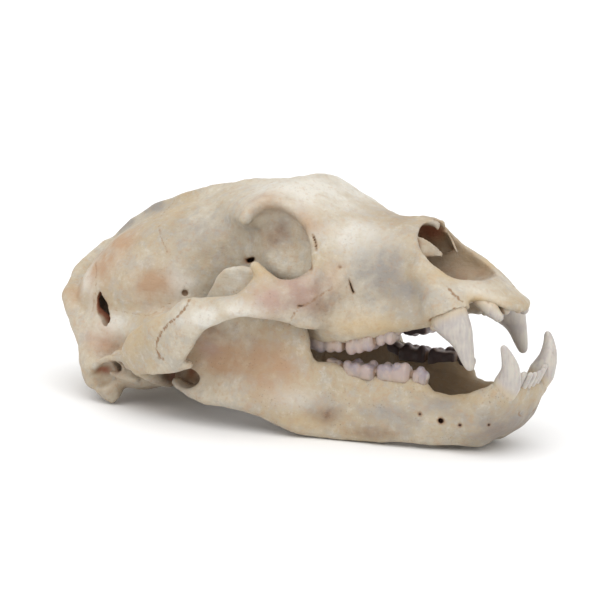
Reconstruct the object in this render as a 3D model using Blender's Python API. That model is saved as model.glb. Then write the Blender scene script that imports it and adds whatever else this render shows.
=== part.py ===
"""Skull and lower jaw of an adult male black bear, lying as it rests.

Shapes are worked out in millimetres: +X towards the snout, +Y to the skull's left, +Z up,
with the floor at 0. Only the right side (y up to 0) is shaped, and the left mirrors it.
Each form is a distance field that is blended into a block of cells, and Blender's own
OpenVDB turns the block into a mesh, which modifiers then thin, cut and mirror.
"""

import bmesh
import bpy
import numpy as np
import openvdb
from mathutils import Matrix

MM = 0.001
CELL = 1.15
FAR = 9.0
THIN_CUT = 0.3

# Widths, each half of the full width, and the places of the main hollows and of the jaw joint
HALF_BRAIN = 48.5
HALF_WAIST = 28.5
HALF_BROW = 42.0
HALF_SNOUT = 30.0
ORBIT = (22.5, -47.5, 98.8)
ORBIT_RADII = (25.0, 17.0, 16.5)
ORBIT_FACES = (0.29, -0.70, 0.65)
ORBIT_LONG = (0.60, -0.39, -0.69)
FANG_DOWN = (0.475, -0.1, -0.875)
SPINAL_OPENING = 11.3
JAW_JOINT = (-38.5, -54.0, 35.0)

# Triangles kept of the right half of the skull and of the jaw, fewest where it is flattest
CRANIUM_FACES = 4300
JAW_FACES = 1700

# Where a person would part the skull: centre, half size and turn of each thin cut, on the right
BROW_CUT = ((-12, 0, 84), (THIN_CUT / 2, 52, 54), 0)
FRONT_ARCH_CUT = ((38, -54.5, 74), (THIN_CUT / 2, 11, 20), 51.5)
REAR_ARCH_CUT = ((-20, -76, 49), (THIN_CUT / 2, 18, 30), 0)

# The outline, in x and z, of the hole broken in the right side of the braincase, and its two depths
BROKEN_EDGE = [(-92, 60), (-90.5, 56), (-87.5, 52), (-85, 49), (-84, 45), (-85.5, 41.5), (-88, 45),
               (-92, 50), (-93.5, 54)]
BROKEN_DEPTH = (-64, -34)

PALE_BONE = (0.84, 0.79, 0.68)
FACE_BONE = (0.80, 0.75, 0.66)
ARCH_BONE = (0.86, 0.81, 0.71)
JAW_BONE = (0.82, 0.76, 0.65)
ROUGHNESS = 0.6

for leftover in list(bpy.data.objects):
    bpy.data.objects.remove(leftover)


def curve_at(x, knots):
    """A smooth curve through (position, value) knots, read at x."""
    at = np.array([knot[0] for knot in knots], float)
    value = np.array([knot[1] for knot in knots], float)
    slope = np.gradient(value, at)
    x = np.clip(x, at[0], at[-1])
    i = np.clip(np.searchsorted(at, x) - 1, 0, len(at) - 2)
    width = at[i + 1] - at[i]
    t = (x - at[i]) / width
    rise = value[i] * (1 + 2 * t) * (1 - t) ** 2 + value[i + 1] * t * t * (3 - 2 * t)
    return rise + width * (slope[i] * t * (1 - t) ** 2 + slope[i + 1] * t * t * (t - 1))


def smoothed(points, steps, closed=False):
    """Points of a Catmull-Rom curve through the given ones."""
    p = np.array(points, float)
    count = len(p)
    if closed:
        before, after, beyond = np.roll(p, 1, 0), np.roll(p, -1, 0), np.roll(p, -2, 0)
        last = count
    else:
        before = np.concatenate([p[:1], p[:-1]])
        after = np.concatenate([p[1:], p[-1:]])
        beyond = np.concatenate([p[2:], p[-1:], p[-1:]])
        last = count - 1
    found = []
    for a, b, c, d in zip(before[:last], p[:last], after[:last], beyond[:last]):
        for t in np.arange(steps) / steps:
            bend = (2 * a - 5 * b + 4 * c - d) * t * t + (3 * b - 3 * c + d - a) * t ** 3
            found.append(0.5 * (2 * b + (c - a) * t + bend))
    if not closed:
        found.append(p[-1])
    return np.array(found)


def joined(a, b, blend):
    """The smaller of two distances, with a fillet of about that size where they cross."""
    if blend <= 0:
        return np.minimum(a, b)
    h = np.clip(0.5 + 0.5 * (b - a) / blend, 0, 1)
    return b + (a - b) * h - blend * h * (1 - h)


def turned(pitch=0.0, yaw=0.0):
    """Local axes of a form: pitch lifts its front, yaw turns it to the left."""
    p, w = np.radians([pitch, yaw])
    lift = np.array([[np.cos(p), 0, -np.sin(p)], [0, 1, 0], [np.sin(p), 0, np.cos(p)]])
    turn = np.array([[np.cos(w), -np.sin(w), 0], [np.sin(w), np.cos(w), 0], [0, 0, 1]])
    return (turn @ lift).T


def facing(out, along):
    """Local axes of a form: its first axis along one direction, its second facing out."""
    along = np.array(along, float) / np.linalg.norm(along)
    out = np.array(out, float) - (np.array(out) @ along) * along
    out /= np.linalg.norm(out)
    return np.array([along, out, np.cross(along, out)])


def ball(centre, radii, axes=None):
    """An ellipsoid."""
    centre, radii = np.array(centre, float), np.array(radii, float)
    rows = np.eye(3) if axes is None else axes

    def distance(x, y, z):
        away = (x - centre[0], y - centre[1], z - centre[2])
        local = [row[0] * away[0] + row[1] * away[1] + row[2] * away[2] for row in rows]
        k = np.sqrt(sum((part / r) ** 2 for part, r in zip(local, radii)))
        steep = np.sqrt(sum((part / r ** 2) ** 2 for part, r in zip(local, radii))) + 1e-6
        return k * (k - 1) / steep

    reach = radii if axes is None else np.full(3, radii.max())
    return distance, centre - reach, centre + reach


def clipped(form, place, beyond):
    """A form without what lies past the plane through this place, on the side that beyond points to."""
    beyond = np.array(beyond) / np.linalg.norm(beyond)

    def distance(x, y, z):
        past = (x - place[0]) * beyond[0] + (y - place[1]) * beyond[1] + (z - place[2]) * beyond[2]
        return np.maximum(form[0](x, y, z), past)

    return distance, form[1], form[2]


def rod(points, radii, steps=3, flat=None, squash=1.0):
    """A round bar through the points; across the flat direction it is squash times as thick."""
    path = smoothed(points, steps) if len(points) > 2 else np.array(points, float)
    wide = np.interp(np.linspace(0, len(points) - 1, len(path)), range(len(points)), radii)

    def distance(x, y, z):
        best = None
        for a, b, ra, rb in zip(path[:-1], path[1:], wide[:-1], wide[1:]):
            ab = b - a
            t = ((x - a[0]) * ab[0] + (y - a[1]) * ab[1] + (z - a[2]) * ab[2]) / (ab @ ab)
            t = np.clip(t, 0, 1)
            dx, dy, dz = x - a[0] - t * ab[0], y - a[1] - t * ab[1], z - a[2] - t * ab[2]
            radius = ra + (rb - ra) * t
            away = dx * dx + dy * dy + dz * dz
            if flat is None:
                found = np.sqrt(away) - radius
            else:
                side = dx * flat[0] + dy * flat[1] + dz * flat[2]
                rest = np.maximum(away - side * side, 0)
                k = np.sqrt(rest + (side / squash) ** 2) / radius
                steep = np.sqrt(rest + (side / squash ** 2) ** 2) / (radius * radius) + 1e-6
                found = k * (k - 1) / steep
            best = found if best is None else np.minimum(best, found)
        return best

    thick = max(radii)
    return distance, path.min(0) - thick, path.max(0) + thick


def loft(stations):
    """Rounded sections along x: (x, top, bottom, half width, height of the widest point, squareness)."""
    low_x, high_x = stations[0][0], stations[-1][0]
    columns = [[(row[0], row[i]) for row in stations] for i in range(1, 6)]

    def distance(x, y, z):
        top, bottom, wide, level, n = (curve_at(x, column) for column in columns)
        tall = np.maximum(np.where(z > level, top - level, level - bottom), 0.5)
        wide = np.maximum(wide, 0.5)
        u, v = np.abs(y) / wide + 1e-6, np.abs(z - level) / tall + 1e-6
        k = (u ** n + v ** n) ** (1 / n)
        steep = k ** (1 - n) * np.sqrt((u ** (n - 1) / wide) ** 2 + (v ** (n - 1) / tall) ** 2)
        return np.maximum((k - 1) / (steep + 1e-6), np.maximum(low_x - x, x - high_x))

    half = max(row[3] for row in stations)
    low = np.array([low_x, -half, min(row[2] for row in stations)])
    return distance, low, np.array([high_x, half, max(row[1] for row in stations)])


def side_plate(outline, half_thickness, edge=1.5, steps=3):
    """A flat plate about the midline with a rounded outline in x and z."""
    line = smoothed(outline, steps, closed=True)
    low, high = line.min(0), line.max(0)

    def distance(x, y, z):
        best = np.full(np.broadcast(x, z).shape, 1e9)
        within = np.zeros(best.shape, bool)
        for (ax, az), (bx, bz) in zip(line, np.roll(line, -1, 0)):
            ex, ez = bx - ax, bz - az
            t = np.clip(((x - ax) * ex + (z - az) * ez) / (ex * ex + ez * ez + 1e-12), 0, 1)
            best = np.minimum(best, (x - ax - t * ex) ** 2 + (z - az - t * ez) ** 2)
            crosses = (az > z) != (bz > z)
            within ^= crosses & (x < ex * (z - az) / (ez + 1e-12) + ax)
        flat = np.where(within, -np.sqrt(best), np.sqrt(best)) + edge
        across = np.abs(y) - half_thickness(x, z) + edge
        outside = np.sqrt(np.maximum(flat, 0) ** 2 + np.maximum(across, 0) ** 2)
        return outside + np.minimum(np.maximum(flat, across), 0) - edge

    thick = np.max(half_thickness(np.linspace(low[0], high[0], 9)[:, None],
                                  np.linspace(low[1], high[1], 9)[None, :]))
    return distance, np.array([low[0], -thick, low[1]]), np.array([high[0], thick, high[1]])


def triangle_distance(x, y, z, a, b, c):
    """Distance to a triangle, less the thickness there; each corner is (x, y, z, half thickness)."""
    ab, ac = b[:3] - a[:3], c[:3] - a[:3]
    normal = np.cross(ab, ac)
    size = normal @ normal
    best = None
    for p, q in ((a, b), (b, c), (c, a)):
        e = q[:3] - p[:3]
        t = ((x - p[0]) * e[0] + (y - p[1]) * e[1] + (z - p[2]) * e[2]) / (e @ e + 1e-12)
        t = np.clip(t, 0, 1)
        away = (x - p[0] - t * e[0]) ** 2 + (y - p[1] - t * e[1]) ** 2 + (z - p[2] - t * e[2]) ** 2
        found = np.sqrt(away) - (p[3] + (q[3] - p[3]) * t)
        best = found if best is None else np.minimum(best, found)
    if size < 1e-9:
        return best
    px, py, pz = x - a[0], y - a[1], z - a[2]
    d00, d01, d11 = ab @ ab, ab @ ac, ac @ ac
    d20 = px * ab[0] + py * ab[1] + pz * ab[2]
    d21 = px * ac[0] + py * ac[1] + pz * ac[2]
    scale = d00 * d11 - d01 * d01
    v = (d11 * d20 - d01 * d21) / scale
    w = (d00 * d21 - d01 * d20) / scale
    u = 1 - v - w
    face = np.abs(px * normal[0] + py * normal[1] + pz * normal[2]) / np.sqrt(size)
    face = face - (u * a[3] + v * b[3] + w * c[3])
    return np.where((u >= 0) & (v >= 0) & (w >= 0), np.minimum(face, best), best)


class Sheet:
    """A bent plate through rows of (x, y, z, half thickness)."""

    def __init__(self, rows, fine=3, fine_across=2):
        grid = np.array(rows, float)
        grid = np.stack([smoothed(grid[:, j], fine) for j in range(grid.shape[1])], axis=1)
        if grid.shape[1] > 2:
            grid = np.stack([smoothed(row, fine_across) for row in grid])
        self.triangles = []
        for i in range(grid.shape[0] - 1):
            for j in range(grid.shape[1] - 1):
                a, b, c, d = grid[i, j], grid[i + 1, j], grid[i + 1, j + 1], grid[i, j + 1]
                self.triangles += [(a, b, c), (a, c, d)]
        flat = grid.reshape(-1, 4)
        self.low = (flat[:, :3] - flat[:, 3:]).min(0)
        self.high = (flat[:, :3] + flat[:, 3:]).max(0)

    def fill(self, axes, margin):
        """The distance on the cells of these axes, FAR where it is past the margin."""
        found = np.full([len(axis) for axis in axes], FAR, np.float32)
        for corners in self.triangles:
            p = np.array(corners)
            low = p[:, :3].min(0) - p[:, 3].max() - margin
            high = p[:, :3].max(0) + p[:, 3].max() + margin
            box = tuple(slice(int(np.searchsorted(axis, low[i])), int(np.searchsorted(axis, high[i])) + 1)
                        for i, axis in enumerate(axes))
            x, y, z = (axis[box[i]] for i, axis in enumerate(axes))
            if min(len(x), len(y), len(z)) == 0:
                continue
            near = triangle_distance(x[:, None, None], y[None, :, None], z[None, None, :], *corners)
            found[box] = np.minimum(found[box], near)
        return found


def shifted(form, y):
    """The same form moved sideways."""
    distance, low, high = form
    return lambda px, py, pz: distance(px, py - y, pz), low + (0, y, 0), high + (0, y, 0)


class Block:
    """Cells that hold the distance to the surface, negative inside."""

    def __init__(self, low, high, cell):
        low = np.array(low, float)
        low[1] = cell * np.round(low[1] / cell)
        self.cell = cell
        self.axes = [np.arange(a, b + cell / 2, cell) for a, b in zip(low, high)]
        self.value = np.full([len(axis) for axis in self.axes], FAR, np.float32)

    def part(self, form, blend):
        """The cells near a form, and the form's distance there."""
        margin = max(blend, 2 * self.cell) + 1.5
        low, high = (form.low, form.high) if isinstance(form, Sheet) else form[1:]
        box = tuple(slice(max(int(np.searchsorted(axis, low[i] - margin)), 0),
                          int(np.searchsorted(axis, high[i] + margin)) + 1)
                    for i, axis in enumerate(self.axes))
        axes = [axis[box[i]] for i, axis in enumerate(self.axes)]
        if isinstance(form, Sheet):
            return box, form.fill(axes, margin)
        x, y, z = axes
        return box, np.minimum(form[0](x[:, None, None], y[None, :, None], z[None, None, :]), FAR)

    def add(self, form, blend=3.0):
        box, near = self.part(form, blend)
        self.value[box] = joined(self.value[box], near, blend)

    def cut(self, form, blend=2.0):
        box, near = self.part(form, blend)
        self.value[box] = -joined(-self.value[box], near, blend)

    def mesh(self, name):
        """The surface as a Blender mesh, closed at the block's own sides."""
        value = self.value.copy()
        for axis in range(3):
            for end in (0, -1):
                face = [slice(None)] * 3
                face[axis] = end
                value[tuple(face)] = np.maximum(value[tuple(face)], self.cell)
        grid = openvdb.FloatGrid()
        grid.copyFromArray(value)
        points, _, quads = grid.convertToPolygons(0.0, 0.0)
        corner = np.array([axis[0] for axis in self.axes])
        mesh = bpy.data.meshes.new(name)
        mesh.from_pydata(((points * self.cell + corner) * MM).tolist(), [], quads.tolist())
        return mesh


# Sections of the skull along x: top, bottom, half width, height of the widest point, squareness
BRAINCASE = [
    (-121, 64, 34, 27, 46, 2.1), (-112, 78, 22, 40, 48, 2.1), (-98, 90, 19, 45.5, 52, 2.2),
    (-80, 99.5, 22, HALF_BRAIN, 57, 2.2), (-62, 107, 28, HALF_BRAIN, 61, 2.2),
    (-44, 111.5, 36, 43.5, 67, 2.1), (-30, 114, 43, 38, 74, 2.1), (-18, 116.5, 48, 33.5, 83, 2.1),
    (-8, 118, 50, 31, 89, 2.1), (4, 120, 52, 29, 92, 2.1), (16, 120, 54, HALF_WAIST, 92, 2.1),
    (28, 115, 56, 29, 91, 2.1), (38, 109, 60, 32, 88, 2.2), (48, 108, 62, 36, 82, 2.3)]
FOREHEAD = [
    (-66, 101, 95, 1, 98, 2), (-46, 111, 100, 8, 106, 2), (-30, 116.4, 100, 22, 108, 2),
    (-16, 120, 98, 34, 107, 2.1), (-4, 124.2, 98, HALF_BROW, 108, 2.2), (4, 127.2, 98, HALF_BROW, 109, 2.2),
    (14, 128.6, 98, 37, 109, 2.1), (24, 125, 96, 34.5, 106, 2.1), (34, 119.8, 90, 35, 100, 2.1),
    (42, 115.2, 80, 34.5, 93, 2.1), (50, 110, 68, 30, 84, 2.1)]
SNOUT = [
    (30, 112, 60, 28, 90, 2.2), (38, 115, 56, 33, 89, 2.2), (47, 114, 55, 36, 86, 2.2),
    (56, 112.8, 55, 36, 82, 2.2), (66, 112.8, 57, 33.5, 80, 2.1), (76, 113.6, 60, 31, 79, 2),
    (84, 113.2, 63, HALF_SNOUT, 78, 1.9), (90, 110.6, 65, 29.5, 78, 2), (98, 101.5, 68, 29.5, 79, 2.2),
    (106, 96, 71, 27, 79, 2.1), (112, 92, 73.5, 24.5, 79.5, 2.05), (118, 88.4, 75, 20.3, 79.5, 2.05),
    (124, 84.4, 75.3, 17.5, 79, 2.1), (130, 81, 74.6, 14.2, 77.5, 2.2), (135.5, 78, 73.2, 11.5, 75.5, 2.2),
    (138.8, 75.4, 72.8, 5.5, 74.2, 2)]
NASAL_PASSAGE = [
    (56, 104, 74, 13, 88, 2), (70, 108.4, 75.4, 15.6, 90, 2.2), (82, 110.6, 77.5, 17, 92, 2.6),
    (88, 113, 78.5, 19, 92, 2.6), (94, 118, 80, 20.3, 91, 2.6), (101, 118, 82, 20.5, 90, 2.6),
    (107, 112, 83.5, 19, 89.5, 2.5), (113, 106, 84.4, 15.5, 90, 2.4), (118.5, 100, 86.6, 9, 91, 2.2),
    (122, 96, 88, 5, 92, 2)]
# The midline ridge and the space over the nose opening's edge, in x and z
CREST_LINE = [(-124, 74), (-121, 78), (-111, 87.8), (-99, 97.6), (-83, 105.8), (-62, 113.2),
              (-41, 118.6), (-20, 121.8)]
CREST_ROOT = [(-12, 116), (-40, 104), (-80, 88), (-110, 70), (-121, 66)]
NOSE_EDGE = [(83, 124), (83.4, 113), (83.6, 108.5), (85.4, 104), (89, 99.6), (93.5, 96.4), (98, 93.6),
             (103.7, 90.6), (108.6, 88.8), (113, 88.2), (118, 87.4), (122.5, 85.6), (129, 83), (137, 79)]
OVER_NOSE = [(142, 72), (160, 90), (150, 125), (100, 132)]


def crest_thickness(x, z):
    """The midline ridge widens downwards."""
    return 1.6 + 0.16 * np.maximum(curve_at(x, CREST_LINE) - z, 0)


def add_masses(b):
    """The braincase, the midline crest, the forehead and the snout."""
    b.add(loft(BRAINCASE), 0)
    b.add(ball((-92, 0, 30), (34, 25, 11)), 8)
    b.add(side_plate(CREST_LINE + CREST_ROOT, crest_thickness), 10)
    b.add(loft(FOREHEAD), 11)
    b.add(loft(SNOUT), 5)


def add_wall_ridges(b):
    """Small ridges on the braincase's side wall, behind the eye."""
    b.add(rod([(-23, -33, 93), (-21.5, -32, 88), (-18, -31, 82)], [0.8, 1.4, 1.2]), 2)
    b.add(rod([(-14.8, -29.4, 92), (-18.4, -31, 86), (-18.2, -31, 79.5)], [0.8, 1.3, 1.2]), 2)


def add_orbit(b):
    """The front root of the cheek, the hollow of the eye and its raised edge."""
    b.add(Sheet([[(50, -30, 88, 8), (52, -31, 76, 9), (50, -33, 64, 7)],
                 [(43, -42, 86, 5.5), (46.5, -43, 75, 6.5), (46, -43, 63.5, 5)],
                 [(36, -53, 80.5, 4.5), (40, -54, 72, 4.5), (39.5, -54, 62.5, 3.3)]]), 7)
    b.add(ball((22, -17, 88), (30, 23, 23)), 10)
    b.cut(ball(ORBIT, ORBIT_RADII, facing(ORBIT_FACES, ORBIT_LONG)), 5)
    b.add(rod([(-6.4, -31, 86.2), (-4.6, -30.6, 92), (-0.6, -30, 96.8), (4, -30, 98.4)],
              [1.5, 1.7, 1.6, 1.2]), 2.5)
    b.add(rod([(-0.5, -47, 108.3), (0, -43, 112.6), (2.8, -38.5, 115.6), (7, -35.5, 116.8),
               (12.4, -33, 116.3),
               (18.2, -32, 114.3), (23.7, -32, 111.5), (29.4, -33.7, 107.4), (34.1, -36, 102.5),
               (37.6, -38.2, 97.2),
               (41.4, -42.8, 91.2), (43.6, -48.8, 84.4), (41.5, -54.5, 80)],
              [2.7, 3.1, 3.1, 3, 2.9, 2.8, 2.7, 2.7, 2.8, 3, 3.3, 3.6, 3.8], 2), 4)
    b.add(rod([(47.5, -37, 93.4), (50.4, -37.2, 89.4), (51.8, -38.4, 84.9), (51.8, -40.6, 80),
               (49.8, -44.8, 77.6)],
              [2, 2.2, 2.5, 2.6, 2.4], 2), 5)


def add_palate(b):
    """The bone that holds the cheek teeth and fangs, the vault between, and the throat plates."""
    b.add(rod([(33, -31, 55.6), (44, -32, 55.6), (56, -31.5, 58), (70, -30, 61.8), (84, -28, 66),
               (98, -26, 70.4)],
              [6.5, 8, 8, 7.5, 7, 7]), 10)
    bulge = rod([(92, -23.5, 90), (101, -25.6, 82), (107, -27.4, 74.5), (112, -28.6, 67)],
                [6.5, 8.8, 10.6, 11.6])
    b.add(clipped(bulge, (109.6, -31, 71), FANG_DOWN), 5)
    b.add(ball((14, 0, 66), (34, 19, 13)), 8)
    b.cut(rod([(18, 0, 57), (4, 0, 54), (-14, 0, 45)], [8, 10, 9]), 3)
    b.add(Sheet([[(18, -14, 62, 2.5), (16, -14.5, 53, 2)], [(2, -12.5, 64, 2.5), (1, -13.5, 51, 1.8)],
                 [(-14, -12, 60, 2.5), (-13, -13.5, 46, 1.8)], [(-24, -13, 54, 3), (-27, -13.5, 40, 1.8)]]),
                 4)
    b.cut(rod([(22, 0, 46), (45, 0, 50.5), (70, 0, 57), (95, 0, 64.5), (112, 0, 70)],
              [12, 14.5, 13.5, 11.5, 7], flat=(0, 1, 0), squash=1.45), 4)


def add_arch(b):
    """The cheek arch, from the snout round to the jaw socket, as a strap with an eye spur."""
    b.add(Sheet([[(48, -36, 86, 5), (50, -37, 75, 6.5), (49, -38, 64, 5)],
                 [(42.5, -44.8, 82.5, 4.5), (46, -45, 74.5, 5.5), (46.3, -46, 62, 3.8)],
                 [(37, -53, 79.2, 4), (41, -54, 72.5, 4.3), (40.5, -54, 61.5, 3)],
                 [(28.5, -58.8, 79.4, 3.4), (32.5, -62, 74, 4), (32.5, -64, 65.5, 3)],
                 [(20.5, -61.5, 82, 2.7), (24, -68.5, 76, 4), (25, -73, 67, 3)],
                 [(14, -67.5, 73.4, 2.7), (15, -74.5, 70.5, 3.6), (16, -79, 66.2, 3)],
                 [(6, -73.5, 69.4, 2.8), (6, -78, 66.5, 3.6), (6.5, -81.5, 62.4, 3.2)],
                 [(-5, -76.5, 67.3, 3.2), (-4, -80.5, 61.5, 4), (-3.2, -82.5, 55.6, 3.4)],
                 [(-13, -79, 66, 3.6), (-14, -81, 54, 4), (-15, -79.5, 41, 3.4)],
                 [(-25, -78, 57, 3.6), (-24, -77.8, 46, 3.6), (-23.5, -75.5, 32.5, 3)],
                 [(-37.5, -75, 50.5, 4), (-36, -75, 40, 3.4), (-36, -73.5, 28, 3)],
                 [(-48, -71.5, 42, 4.5), (-49, -71, 34, 3.6), (-49.5, -68, 26.5, 3)],
                 [(-57.5, -65.5, 32, 3), (-58, -65.5, 29.5, 3), (-58.5, -64, 26.5, 2.6)]]), 3)
    b.add(rod([(-26, -74.5, 32), (-13.5, -74.5, 34.2)], [3, 1.9]), 3)
    b.add(rod([(25, -62, 80), (20, -62, 84.5), (16.6, -62.6, 87.6)], [3.6, 3.2, 2.5]), 3)


def add_jaw_socket(b):
    """The shelf over the jaw joint and the stop behind it."""
    b.add(Sheet([[(-62, -42, 38, 8), (-60, -56, 33, 6), (-57, -66, 33.5, 4)],
                 [(-48, -42, 48, 6), (-47, -57, 46, 3.5), (-46.5, -71, 42, 4.2)],
                 [(-35, -40, 52, 6), (-33, -56, 49, 3.2), (-34, -74, 47.5, 4.5)],
                 [(-29, -38, 54, 5), (-31, -58, 50.5, 2.4), (-23, -76.5, 54, 4)]]), 6)
    b.add(Sheet([[(-55, -36, 36, 5), (-53, -38, 24, 4), (-50, -40, 15, 3.2)],
                 [(-53, -50, 36, 4), (-51, -50, 25, 3.8), (-47, -50, 17, 3.2)],
                 [(-51.5, -66, 36, 3.4), (-51, -66, 30, 3.2), (-50, -66, 24.5, 2.8)]]), 4)


def add_ear_region(b):
    """The ear bulb, ear opening and the shelf above it, and the two points behind the ear."""
    b.add(ball((-69, -38, 18.5), (19, 18, 11)), 6)
    b.add(rod([(-64, -38, 25), (-70, -54, 23)], [9, 8]), 4)
    b.add(rod([(-56, -46, 44), (-68, -43, 41), (-82, -41, 37)], [7.5, 8.5, 9]), 8)
    b.add(rod([(-91, -42, 36), (-89.5, -48, 23), (-83, -52.5, 13), (-77.5, -53, 6.8)],
              [12.7, 10, 7.6, 5.4]), 6)
    b.add(rod([(-79, -53.5, 5), (-76.8, -53.8, 1.8)], [3.4, 1.5]), 2)
    b.add(rod([(-99, -36, 26), (-96, -43, 15), (-89.5, -46, 9)], [8.6, 5.4, 2.6]), 3)
    b.cut(ball((-81, -60, 16), (11, 8, 6.6), turned(28)), 2.5)
    b.add(rod([(-56, -66.5, 30.5), (-65.5, -63.8, 28.4), (-75.5, -60.8, 26.2), (-85, -57.6, 21.4),
               (-93.5, -54, 14.5)],
              [2.6, 1.9, 1.6, 1.6, 2.2]), 1.8)
    b.cut(ball((-70.8, -58, 22.2), (4.6, 13, 3.2)), 0.8)
    b.add(rod([(-75, -57.5, 18.2), (-68, -58.5, 18), (-60.5, -55, 16.4)], [1.3, 1.6, 1.9]), 1.5)


def add_back(b):
    """The back wall, its raised neck edge and the joint knob beside the spinal opening."""
    b.add(Sheet([[(-121.5, 4, 74.5, 4), (-121, 4, 60, 6), (-114, 4, 46, 7)],
                 [(-126, -5, 70.2, 3.2), (-121, -6, 59, 6), (-114, -8, 46, 7)],
                 [(-128, -15, 62.3, 3.2), (-120, -16, 54, 6), (-113, -17, 42, 8)],
                 [(-123.5, -27.5, 56.5, 3.2), (-116, -27, 48, 7), (-109, -27, 34, 8.5)],
                 [(-120, -37, 52, 3), (-112, -36, 42, 7), (-104, -35, 28, 8.3)],
                 [(-114.8, -41.5, 46, 3), (-107, -40, 37, 7), (-98.5, -38, 24, 8.3)],
                 [(-101, -47, 35, 3.5), (-96, -44, 30, 7), (-91, -42, 20, 8)],
                 [(-94, -50, 22, 3.6), (-91, -48.5, 20, 6), (-87, -47, 17, 6)]]), 6)
    b.add(rod([(-127, 0, 69.6), (-127.5, -12, 64.8), (-124.2, -25, 59), (-119.8, -36, 53),
               (-114.6, -42, 46.5),
               (-103, -47.5, 36.5), (-97, -50.5, 28), (-95.8, -51, 19.5), (-91, -52.5, 11)],
              [3.2, 3, 2.8, 2.8, 2.8, 3, 3, 3.2, 4]), 4)
    b.add(ball((-112, -17, 25), (11.5, 10.5, 12), turned(0, 25)), 5)


def cut_cavities(b):
    """The nasal passage and the way in for the spinal cord."""
    b.cut(loft(NASAL_PASSAGE), 1.5)
    b.cut(side_plate(NOSE_EDGE + OVER_NOSE, lambda x, z: 60 + 0 * x * z, 1.0), 1.5)
    b.add(rod([(76, -3.5, 112), (83, -3.2, 111.9), (87.4, -2.6, 111.3)], [1.7, 1.5, 1.2]), 2)
    b.add(rod([(87, -3, 111.2), (88.4, -3.6, 109.4)], [1.2, 0.8]), 1)
    b.cut(rod([(-130, 0, 33), (-113, 0, 36), (-84, 0, 41)], [SPINAL_OPENING, SPINAL_OPENING, 13]), 3)


def cranium_block(cell):
    b = Block((-142, -92, -4), (148, 3 * cell, 136), cell)
    add_masses(b)
    add_orbit(b)
    add_wall_ridges(b)
    add_palate(b)
    add_arch(b)
    add_jaw_socket(b)
    add_ear_region(b)
    add_back(b)
    cut_cavities(b)
    return b


JAW_ROWS = [
    [(128, -20.3, 29.3, 5), (128, -21, 25.6, 6.5), (127, -19, 19.5, 7.5), (124, -15, 13, 6.5),
     (122, -12, 7.4, 5.2)],
    [(114, -21, 25, 4.2), (115, -21.5, 21.5, 6), (114, -21.5, 16, 7), (112, -20.5, 12, 6.5),
     (110, -19.5, 7.7, 5.2)],
    [(101.5, -23, 25.4, 4.2), (101, -24, 21.5, 6), (100, -25, 17, 7), (99, -25.5, 12.5, 6.5),
     (98, -25.5, 7.4, 5.2)],
    [(85, -25, 31, 4.6), (85, -27, 25, 6.3), (85, -29, 18, 7.2), (85, -30, 12, 6.5), (85, -30.5, 6.9, 5.2)],
    [(70, -28, 29.5, 4.8), (70, -30, 24, 6.5), (70, -33, 17, 7.2), (70, -34, 11, 6.5),
     (70, -34.5, 5.9, 5.2)],
    [(56, -31, 30, 4.8), (56, -34, 24, 6.5), (55, -38, 16, 7.2), (54, -39.5, 10, 6.3), (53, -40, 5.2, 5.2)],
    [(49, -36, 34.4, 4.5), (48, -40, 27, 6), (47, -43.5, 19, 7), (46, -44, 12, 6.2), (45, -43.5, 5.2, 5)],
    [(40, -44.5, 38.4, 3), (41, -46.5, 31, 4.6), (41, -48.5, 22, 6), (39, -49, 14, 5.8),
     (37, -48.3, 6.8, 5)],
    [(34.8, -46, 61, 2.6), (35.4, -47.3, 46, 3.2), (34.5, -50.3, 31, 4), (31, -52, 19, 4.8),
     (28, -51, 9.4, 5)],
    [(25, -50.5, 75, 2.7), (25, -51, 56, 2.5), (22, -52, 38, 2.7), (17, -55, 22, 4), (14, -55.3, 14.8, 5)],
    [(9, -54, 82.5, 2.5), (8, -53, 60, 2.2), (6, -52.5, 40, 2.4), (2, -56, 26, 3.5), (0, -58, 15.9, 4.6)],
    [(-5, -55, 81, 2.4), (-7, -53.5, 60, 2.2), (-9, -52.5, 42, 2.5), (-11, -55, 27, 3),
     (-12, -58.5, 15.6, 4)],
    [(-14.5, -55, 66, 2.2), (-16, -54, 54, 2.3), (-20, -54.5, 43, 3), (-18, -55.5, 32, 3),
     (-19, -58, 17.2, 3.6)],
    [(-18.5, -55, 60, 1.8), (-21, -54.5, 50, 2), (-28, -55, 41, 2.6), (-29.5, -55.5, 35, 2.4),
     (-24, -58, 17.4, 3.2)]]


def add_jaw(b):
    """The lower jaw."""
    b.add(Sheet(JAW_ROWS, 3, 3), 0)
    b.add(rod([(87, -25, 31.4), (96.4, -24.6, 30.6)], [4.4, 3.6]), 3)
    b.add(rod([(-10, -54, 45), (-24, -55, 43), (-37, -55, 36)], [3.5, 4.6, 6]), 4)
    b.add(ball(JAW_JOINT, (7, 14, 7.2)), 3)
    b.add(rod([(-12, -58.3, 16), (-23, -57.5, 16.4), (-34, -55.5, 19.2)], [4, 3.4, 2.4]), 3)
    b.add(Sheet([[(-14, -50, 40, 2.5), (-14, -50, 28, 2), (-14, -52, 18, 2.5)],
                 [(-25, -48, 38, 2.5), (-25, -47, 28, 1.8), (-25, -50, 19, 2.2)],
                 [(-38, -47, 32, 2), (-40, -46.5, 26, 1.6), (-38, -49, 20, 1.8)]]), 3)
    b.cut(ball((-25.5, -60, 23.4), (8.6, 9.5, 5.4)), 1)
    b.add(ball((127, -5, 16.6), (19, 16.5, 9.9), turned(33)), 6)
    b.add(ball((136.4, -5, 27.6), (11.6, 18, 7.2), turned(50)), 5)
    b.add(ball((116, -4, 12.3), (15, 12, 7.3), turned(8)), 6)
    b.add(rod([(122, -17.5, 18), (131, -19, 26), (136.5, -19.5, 32)], [7.5, 7.5, 7]), 4)


def jaw_block(cell):
    b = Block((-54, -84, -4), (156, 3 * cell, 94), cell)
    add_jaw(b)
    return b


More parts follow.
